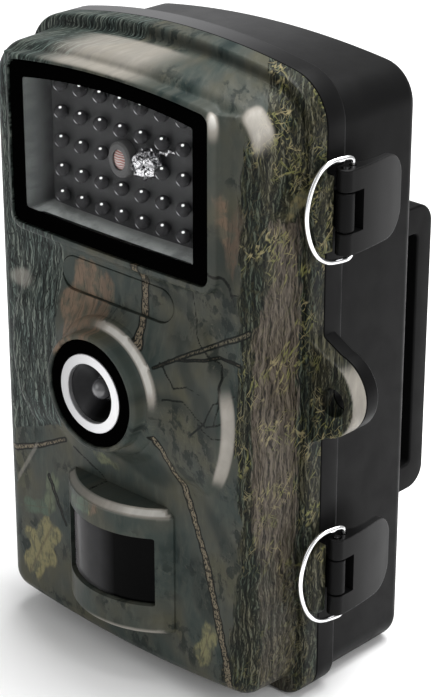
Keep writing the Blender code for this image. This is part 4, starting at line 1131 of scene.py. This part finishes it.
def front_cover():
    grain = 0.36 if FINE else 0.6
    flange = extrude("flange", flange_outline,
                     [(0.0, 1.5), (0.0, -3.4)] + [(0.9 * (1 - math.cos(a)), -3.4 - 0.9 * math.sin(a))
                                                  for a in (0.4, 0.8, 1.2, math.pi / 2)])
    body = extrude("front_body", front_outline, body_profile())
    bezel = extrude("bezel", bezel_outline, eased(-14.5, -20.4, 0.0, 1.1))
    ear = extrude("ear", ear_outline, eased(1.5, -4.0, 0.0, 0.6))
    turret_foot = turned("turret_foot", [(0.0, -21.2), (13.4, -21.2), (13.9, -21.0),
                                         (14.8, -20.1), (14.9, -15.0), (0.0, -15.0)],
                         (0.0, LENS_Z))
    pieces = [flange, body, relief(), bezel, ear, turret_foot]
    for name, height in LATCHES.items():
        pieces.append(hook(name + "_hook", height))
    cover = mould("front_cover_moulding", pieces, grain, 4)
    carve(cover, [
        block("seam", (-60.0, 60.0), (-0.15, 9.0), (-9.0, 150.0)),
        extrude("cavity", lambda inset: front_outline(2.2), [(0.0, -15.4), (0.0, 1.0)]),
        extrude("window_seat", window_outline(27.1, 92.7, 128.6, 2.2), [(0.0, -25.0), (0.0, -18.5)]),
        extrude("window_hole", window_outline(24.6, 95.0, 127.0, 1.6), [(0.0, -19.0), (0.0, -10.0)]),
        bore("lens_bore", (0.0, LENS_Z), (-30.0, -11.0), 11.6, 96),
        block("sensor_opening", (-13.6, 13.6), (-30.0, -14.0), (14.8, 38.6)),
        extrude("badge_recess", pill_outline(15.7, 3.6, 84.9), [(0.0, -21.0), (0.0, -17.1)]),
        bore("ear_hole", EAR_HOLE, (-9.0, 5.0), 3.0),
    ])
    wear_film(cover)
    show(cover, "door", "camouflage", FILM, "front_cover", angle=40.0)

    turret = turned("lens_turret", [(11.25, -25.75), (11.45, -25.95), (11.9, -25.95), (12.2, -25.75),
                                    (12.4, -25.3), (12.45, -22.9), (12.6, -22.6), (13.2, -22.35),
                                    (13.9, -21.8), (14.5, -21.0), (14.7, -20.3), (14.75, -16.5),
                                    (8.9, -16.5), (8.9, -24.2), (11.25, -24.2)], (0.0, LENS_Z))
    densify(turret)
    wear_film(turret)
    show(turret, "door", "camouflage", FILM, angle=40.0)

    side = math.sqrt(PIR_RADIUS ** 2 - (PIR_CENTRE_Y - FACE + 0.4) ** 2)
    outline = sensor_arc(PIR_RADIUS, side) + [(side, -16.2), (-side, -16.2)]
    brow = extrude("sensor_hood", outline, [(1.1, 12.3), (0.0, 13.2), (0.0, 39.5), (1.5, 41.0)], "Z")
    carve(brow, [
        extrude("sensor_hollow", sensor_arc(PIR_RADIUS - 2.2, 14.0) + [(14.0, -14.0), (-14.0, -14.0)],
                [(0.0, 14.5), (0.0, 38.8)], "Z"),
        extrude("sensor_window", box_outline((-12.4, 12.4), (19.2, 34.8), 0.5),
                [(0.0, -30.0), (0.0, -15.0)])])
    densify(brow)
    wear_film(brow)
    show(brow, "door", "camouflage", FILM, angle=30.0)

    for name, height in HINGES.items():
        barrel, leaf = door_knuckle(name + "_door_knuckle", height)
        knuckle = carve(barrel, [leaf], "UNION")
        carve(knuckle, [bore("hinge_bore", (HINGE_X, 0.0), (height - 5, height + 5), 1.3, 32, "Z")])
        densify(knuckle)
        wear_film(knuckle)
        knuckle.name = name + "_door_knuckle"
        show(knuckle, "door", "camouflage", FILM)

    plate = extrude("indicator_cover_pill", pill_outline(15.58, 3.48, 84.9),
                    eased(-16.9, -17.75, 0.0, 0.15))
    densify(plate)
    wear_film(plate)
    show(plate, "door", "camouflage", FILM, "indicator_cover")


def densify(piece, size=0.5):
    """Split long edges, so that the film's fields read well on a plain mesh."""
    bm = bmesh.new()
    bm.from_mesh(piece.data)
    bmesh.ops.triangulate(bm, faces=[f for f in bm.faces if len(f.verts) > 4])
    for _ in range(5):
        long_edges = [e for e in bm.edges if e.calc_length() > 2.0 * size * MM]
        if not long_edges:
            break
        bmesh.ops.subdivide_edges(bm, edges=long_edges, cuts=1, use_grid_fill=True)
        bmesh.ops.triangulate(bm, faces=[f for f in bm.faces if len(f.verts) > 4])
    bm.to_mesh(piece.data)
    bm.free()


# ---------------------------------------------------------------- the infrared unit

def infrared_unit():
    outer = window_outline(26.8, 93.0, 128.3, 2.0)
    inner = window_outline(23.2, 96.4, 125.6, 0.6)
    border = extrude("ir_window_border", outer, eased(-18.8, -20.2, 0.0, 0.25))
    rebate = window_outline(24.3, 95.5, 126.6, 1.6)
    carve(border, [extrude("border_hole", inner, [(0.0, -22.0), (0.0, -17.0)]),
                   extrude("border_rebate", rebate, [(0.0, -19.95), (0.0, -17.0)])])
    show(border, "door", "clear_plastic", GLOSS, "ir_window")
    pane = extrude("ir_window_pane", shrink(inner, 0.02), [(0.0, -19.98), (0.0, -20.15)])
    show(pane, "door", "clear_plastic", WINDOW)

    tray = extrude("ir_tray_wall", shrink(rebate, 0.05), [(0.0, -19.9), (0.0, -14.4)])
    carve(tray, [extrude("tray_inside", window_outline(21.2, 96.7, 125.0, 1.2),
                         [(-2.2, -20.2), (0.3, -13.9)])])
    show(tray, "door", "grey_plastic", TRAY, "ir_tray")

    board = extrude("ir_board_plate", box_outline((-25.4, 25.4), (94.4, 127.4), 1.0),
                    eased(-12.8, -14.3, 0.0, 0.1))
    show(board, "door", "circuit_board", BOARD, "ir_led_board")
    radius, middle, pitch = 1.45, -15.75, 5.57
    bulb = [(radius * math.cos(math.radians(a)), middle - radius * math.sin(math.radians(a)))
            for a in range(-84, 90, 6)]
    dome = [(0.0, -14.2)] + bulb + [(0.0, middle - radius)]
    for row, level in enumerate((99.7, 105.1, 111.1, 117.0, 122.6)):
        for column in range(-3, 4):
            if row == 2 and column in (0, 1):
                continue
            made = turned("emitter_%d_%d" % (row + 1, column + 4), dome,
                          (column * pitch - 0.2, level), steps=40)
            show(made, "door", "circuit_board", RESIN, angle=50.0)

    ring = turned("photocell_ring", [(1.75, -16.7), (2.6, -16.7), (3.0, -16.4), (3.1, -15.8),
                                     (3.1, -14.6), (1.75, -14.6)], (0.0, 111.2), steps=64)
    core = turned("photocell_core", [(0.0, -16.55), (1.2, -16.5), (1.7, -16.3), (1.7, -14.6),
                                     (0.0, -14.6)], (0.0, 111.2), steps=48)
    for piece in (ring, core):
        for vert in piece.data.vertices:
            vert.co.z = 111.2 * MM + (vert.co.z - 111.2 * MM) * 1.2
    show(ring, "door", "photocell_amber", GREY, "photocell")
    show(core, "door", "photocell_amber", CELL)

    crushed_screw()


def crushed_screw():
    """A bright screw with a badly chewed head, and the clipped end of a wire."""
    depth, stretch, slant = 0.8, 0.2, 0.12
    head = turned("board_screw_head", [(0.0, -18.2), (1.3, -18.1), (2.3, -17.5), (2.6, -17.1),
                                       (2.9, -16.6), (3.1, -16.1), (3.0, -15.6), (2.7, -14.8),
                                       (0.0, -14.6)], (7.0, 112.0), steps=23)
    for index, vert in enumerate(head.data.vertices):
        dent = 0.34 * math.sin(index * 2.4) + 0.26 * math.sin(index * 5.1 + 1.0)
        across = vert.co.x / MM
        vert.co += Vector((depth * dent + stretch * (across - 6.0), -0.9 * abs(dent),
                           depth * dent + slant * (across - 7.0))) * MM
    bm = bmesh.new()
    bm.from_mesh(head.data)
    bmesh.ops.triangulate(bm, faces=bm.faces[:])
    bm.to_mesh(head.data)
    bm.free()
    show(head, "door", "bright_steel", FOIL, "board_screw", angle=25.0)
    tail = tube("board_screw_tail", [(9.0, -15.8, 113.6), (10.9, -15.9, 115.2), (12.2, -15.9, 115.1),
                                     (13.0, -15.8, 115.9), (14.6, -15.8, 115.7)], 0.42, 7)
    show(tail, "door", "bright_steel", FOIL, angle=20.0)


# ---------------------------------------------------------------- the lens and the sensors

def lens_unit():
    centre = (0.0, LENS_Z)
    bezel = turned("lens_bezel_ring", [(8.35, -25.6), (8.5, -25.75), (10.7, -25.75),
                                       (11.0, -25.6), (11.15, -25.35), (11.15, -24.6),
                                       (8.35, -24.6)], centre)
    show(bezel, "door", "gloss_black", GLOSS, "lens_bezel")
    ring = turned("lens_trim", [(6.2, -25.7), (6.3, -25.85), (8.15, -25.85), (8.25, -25.75),
                                (8.25, -24.8), (6.2, -24.8)], centre)
    show(ring, "door", "satin_silver", SILVER, "lens_trim_ring", angle=10.0)
    funnel = turned("lens_funnel", [(6.15, -24.75), (5.9, -24.7), (5.5, -24.3), (3.3, -20.9),
                                    (3.0, -20.4), (3.0, -17.0), (8.8, -17.0), (8.8, -24.7)],
                    centre)
    show(funnel, "door", "satin_black", FUNNEL, "lens_hood", angle=12.0)
    ball = [(2.2 * math.sin(math.radians(a)), -22.2 - 2.2 * math.cos(math.radians(a)))
            for a in range(0, 96, 5)]
    glass = turned("lens_front_glass", ball + [(2.2, -21.6), (2.75, -21.0), (2.75, -19.9),
                                               (0.0, -19.9)], centre)
    show(glass, "door", "glass", LENS, "lens_glass")


def motion_sensor():
    inner = PIR_RADIUS - 3.4
    outline = sensor_arc(PIR_RADIUS - 0.9, 12.1) + list(reversed(sensor_arc(inner, 12.1)))
    pane = extrude("motion_sensor_pane", outline, eased(19.5, 34.5, 0.15, 0.15), "Z")
    rim = extrude("motion_sensor_rim", sensor_arc(PIR_RADIUS - 2.5, 13.4)
                  + list(reversed(sensor_arc(inner, 13.4))), [(0.0, 17.5), (0.0, 36.5)], "Z")
    carve(pane, [rim], "UNION")
    show(pane, "door", "gloss_black", SENSOR_BLACK, "pir_window", angle=40.0)


# ---------------------------------------------------------------- the rear case

def rear_case():
    case = extrude("rear_case_moulding", flange_outline, eased(0.15, 5.6, 0.25, 0.9))
    box = extrude("rear_box", rear_outline, eased(3.0, 29.2, 0.0, 2.6, 10))
    ear = extrude("rear_ear", ear_outline, eased(0.15, 3.6, 0.2, 0.5))
    carve(case, [box, ear], "UNION")
    for name, height in LATCHES.items():
        arm = block(name + "_arm", (35.5, PIN[0]), (PIN[1] - 0.3, PIN[1] + 1.65),
                    (height - 3.7, height + 3.7))
        barrel = turned(name + "_barrel", [(0.0, height - 3.8), (1.65, height - 3.8),
                                           (1.8, height - 3.65), (1.8, height + 3.65),
                                           (1.65, height + 3.8), (0.0, height + 3.8)], PIN, "Z", 48)
        carve(case, [arm, barrel], "UNION")
        carve(case, [bore("lug_bore", PIN, (height - 7, height + 7), 1.0, 32, "Z")])
    for name, height in HINGES.items():
        for side in (-1.0, 1.0):
            middle = height + side * 6.1
            barrel = hinge_barrel("case_knuckle", middle)
            leaf = block("case_leaf", (HINGE_X, -36.5), (0.15, 2.2), (middle - 2.9, middle + 2.9))
            carve(case, [barrel, leaf], "UNION")
        carve(case, [bore("hinge_bore", (HINGE_X, 0.0), (height - 10, height + 10), 1.3, 32, "Z")])
    carve(case, [extrude("cavity", lambda inset: rear_outline(2.3, 4.6), [(0.0, -1.0), (0.0, 25.6)])])
    groove = extrude("groove", lambda inset: flange_outline(1.4), [(0.0, -1.0), (0.0, 2.3)])
    carve(groove, [extrude("groove_inside", lambda inset: flange_outline(3.2),
                           [(0.0, -2.0), (0.0, 4.0)])])
    carve(case, [groove])
    boss = turned("tripod_boss", [(0.0, 3.5), (6.4, 3.5), (6.4, 10.2), (6.1, 10.5), (0.0, 10.5)],
                  TRIPOD, "Z")
    carve(case, [boss], "UNION")
    carve(case, [
        bore("tripod_bore", TRIPOD, (-1.3, 9.3), 4.9, ROUND, "Z"),
        bore("port_recess", PORT, (-1.0, 2.0), 5.6, ROUND, "Z"),
        bore("port_bore", PORT, (-1.0, 7.0), 4.0, ROUND, "Z"),
        bore("rear_ear_hole", EAR_HOLE, (-3.0, 8.0), 3.0),
    ] + [bore("bracket_bore", place, (26.4, 30.2), 1.4, 24) for place in BRACKET_SCREWS])
    show(case, "case", "satin_black", BLACK, "rear_case", angle=30.0)


def strap_bracket():
    outer = corner(36.1, 91.5, 4.5, 90.0, 0.0) + corner(36.1, 36.5, 4.5, 0.0, -90.0)
    inside = ([(29.5, 32.0), (29.5, 38.0)] + corner(34.9, 39.2, 1.2, -90.0, 0.0, 5)
              + corner(34.9, 88.8, 1.2, 0.0, 90.0, 5) + [(29.5, 90.0), (29.5, 96.0)])
    bracket = extrude("strap_bracket_loop", outer + inside, eased(-32.0, 32.0, 0.5, 0.5), "X")
    for place in BRACKET_SCREWS:
        carve(bracket, [bore("bracket_bore", place, (26.0, 42.0), 1.6, 32),
                        bore("counterbore", place, (37.5, 42.5), 2.7, 40)])
    show(bracket, "case", "satin_black", BLACK, "strap_bracket")


# ---------------------------------------------------------------- the latches

def lever(name, height):
    outer = [(43.7, 1.3), (43.75, 3.6), (43.6, 6.8), (43.3, 10.2), (42.8, 13.8), (42.0, 17.6)]
    inner = [(40.6, 17.3), (41.4, 13.4), (41.8, 9.8), (41.7, 7.2), (40.9, 5.4), (40.2, 3.8),
             (40.1, 1.3)]
    outer = curve_through([(x, y, 0.0) for x, y in outer], 6)[:, :2]
    inner = curve_through([(x, y, 0.0) for x, y in inner], 6)[:, :2]
    blade = extrude(name, list(map(tuple, outer)) + list(map(tuple, inner)),
                    [(0.0, height - 8.5), (0.0, height + 8.5)], "Z")
    face = (corner(12.1, height + 3.0, 5.5, 90.0, 0.0) + corner(12.1, height - 3.0, 5.5, 0.0, -90.0)
            + [(-2.0, height - 8.5), (-2.0, height + 8.5)])
    carve(blade, [extrude("face", face, [(0.0, 36.0), (0.0, 46.0)], "X")], "INTERSECT")
    knuckles = []
    for side in (-1.0, 1.0):
        low, high = sorted((height + side * 4.1, height + side * 8.5))
        knuckles.append(bore("knuckle", PIN, (low, high), 1.8, 48, "Z"))
    carve(blade, knuckles, "UNION")
    made = mould(name, [blade], 0.14 if FINE else 0.28, 3)
    cutters = [block("window", (37.0, 47.0), (-3.0, 4.5), (height - 4.1, height + 4.1)),
               bore("pin_bore", PIN, (height - 10, height + 10), 1.0, 32, "Z")]
    for side in (-1.0, 1.0):
        end = height + side * 8.5
        cutters.append(bore("bail_bore", BAIL_PIVOT, (end - 2.3, end + 2.3), 0.75, 24, "Z"))
    carve(made, cutters)
    return made


def bail(name, height):
    lean = math.radians(-13.0)
    along = np.array([math.sin(lean), -math.cos(lean), 0.0])
    start = np.array([*BAIL_PIVOT, height])
    half = [(0.0, 6.6), (0.0, 8.9), (0.15, 9.6), (0.6, 9.95), (1.4, 10.1), (3.4, 10.08), (4.9, 9.9),
            (6.2, 9.4), (7.4, 8.5), (8.4, 7.2), (9.2, 5.6), (9.8, 3.8), (10.2, 1.9), (10.35, 0.0)]
    path = half + [(reach, -side) for reach, side in reversed(half[:-1])]
    points = [start + along * reach + np.array([0.0, 0.0, side]) for reach, side in path]
    return tube(name, curve_through(points, 5), 0.5, 16)


def latches():
    for name, height in LATCHES.items():
        show(lever(name + "_lever_moulding", height), name + "_lever", "satin_black", LEVER_BLACK,
             name + "_latch_lever", angle=35.0)
        show(bail(name + "_bail_wire", height), name + "_bail", "bright_steel", WIRE,
             name + "_latch_bail", angle=60.0)


# ---------------------------------------------------------------- inside

def batteries():
    for index in range(4):
        x = (index - 1.5) * 14.8
        middle, half = 64.1, 24.8
        profile = [(0.0, half), (2.4, half), (2.7, half - 0.3), (2.7, half - 1.1), (6.2, half - 1.1),
                   (6.7, half - 1.25), (7.0, half - 1.6), (7.1, half - 2.1), (7.1, -half + 0.6),
                   (6.9, -half + 0.2), (6.5, -half), (0.0, -half)]
        if index % 2:
            profile = [(radius, -height) for radius, height in reversed(profile)]
        cell = turned("cell_%d_sleeve" % (index + 1), [(r, middle + h) for r, h in profile],
                      (x, 16.5), "Z", 64)
        show(cell, "case", "cell_wrap", SLEEVE, "battery_%d" % (index + 1))


front_cover()
infrared_unit()
lens_unit()
motion_sensor()
rear_case()
strap_bracket()
latches()
batteries()

dress(BLACK, "satin_black", "lens_barrel", "door_panel", "speaker", "memory_card", "dc_jack",
      "battery_tray")
dress(BOARD, "circuit_board", "sensor_board", "main_board")
dress(STEEL, "bright_steel", "pir_sensor", "card_socket", "upper_contact_left",
      "upper_contact_right", "lower_contact_left", "lower_contact_middle",
      "lower_contact_right", "upper_hinge_pin", "lower_hinge_pin", "upper_latch_pin",
      "lower_latch_pin",
      *("%s_screw_%s_%s" % (kind, side, level) for kind in ("panel", "bracket")
        for side in ("left", "right") for level in ("lower", "upper")))
dress(GREY, "grey_plastic", "up_button", "down_button", "left_button", "right_button",
      "ok_button", "menu_button", "power_switch")
dress(SCREEN, "gloss_black", "lcd_screen")
dress(BRASS, "brass", "tripod_insert")
dress(RUBBER, "seal_rubber", "gasket", "port_plug")


# ---------------------------------------------------------------- the studio

def studio():
    mesh = bpy.data.meshes.new("floor")
    mesh.from_pydata([(-6, -6, 0), (6, -6, 0), (6, 6, 0), (-6, 6, 0)], [], [(0, 1, 2, 3)])
    floor = bpy.data.objects.new("floor", mesh)
    bpy.context.scene.collection.objects.link(floor)
    mesh.materials.append(floor_face())
    world = bpy.data.worlds.new("studio")
    world.use_nodes = True
    world.node_tree.nodes["Background"].inputs["Color"].default_value = (1.0, 1.0, 1.0, 1.0)
    world.node_tree.nodes["Background"].inputs["Strength"].default_value = 0.45
    bpy.context.scene.world = world
    lights = [
        ("overhead", (0.05, 0.20, 0.80), (0.7, 0.5), 11.0, (0.0, 0.0, 0.06)),
        ("right_key", (0.85, -0.10, 0.55), (0.45, 0.6), 3.0, (0.0, -0.02, 0.07)),
        ("front_fill", (-0.45, -0.95, 0.45), (0.7, 0.7), 2.2, (0.0, 0.0, 0.06)),
    ]
    for name, place, size, power, aim in lights:
        lamp = bpy.data.lights.new(name, "AREA")
        lamp.shape = "RECTANGLE"
        lamp.size, lamp.size_y = size
        lamp.energy = power
        holder = bpy.data.objects.new(name, lamp)
        holder.location = place
        way = Vector(aim) - Vector(place)
        holder.rotation_euler = way.to_track_quat("-Z", "Y").to_euler()
        bpy.context.scene.collection.objects.link(holder)
    lens = bpy.data.cameras.new("camera")
    lens.lens = 116.6
    lens.sensor_width = 36.0
    lens.clip_start = 0.01
    camera = bpy.data.objects.new("camera", lens)
    camera.location = (0.29648, -0.31529, 0.25339)
    way = Vector((0.0001, -0.0035, 0.0630)) - camera.location
    camera.rotation_euler = way.to_track_quat("-Z", "Y").to_euler()
    bpy.context.scene.collection.objects.link(camera)
    bpy.context.scene.camera = camera
    bpy.context.scene.view_settings.view_transform = "Standard"


studio()
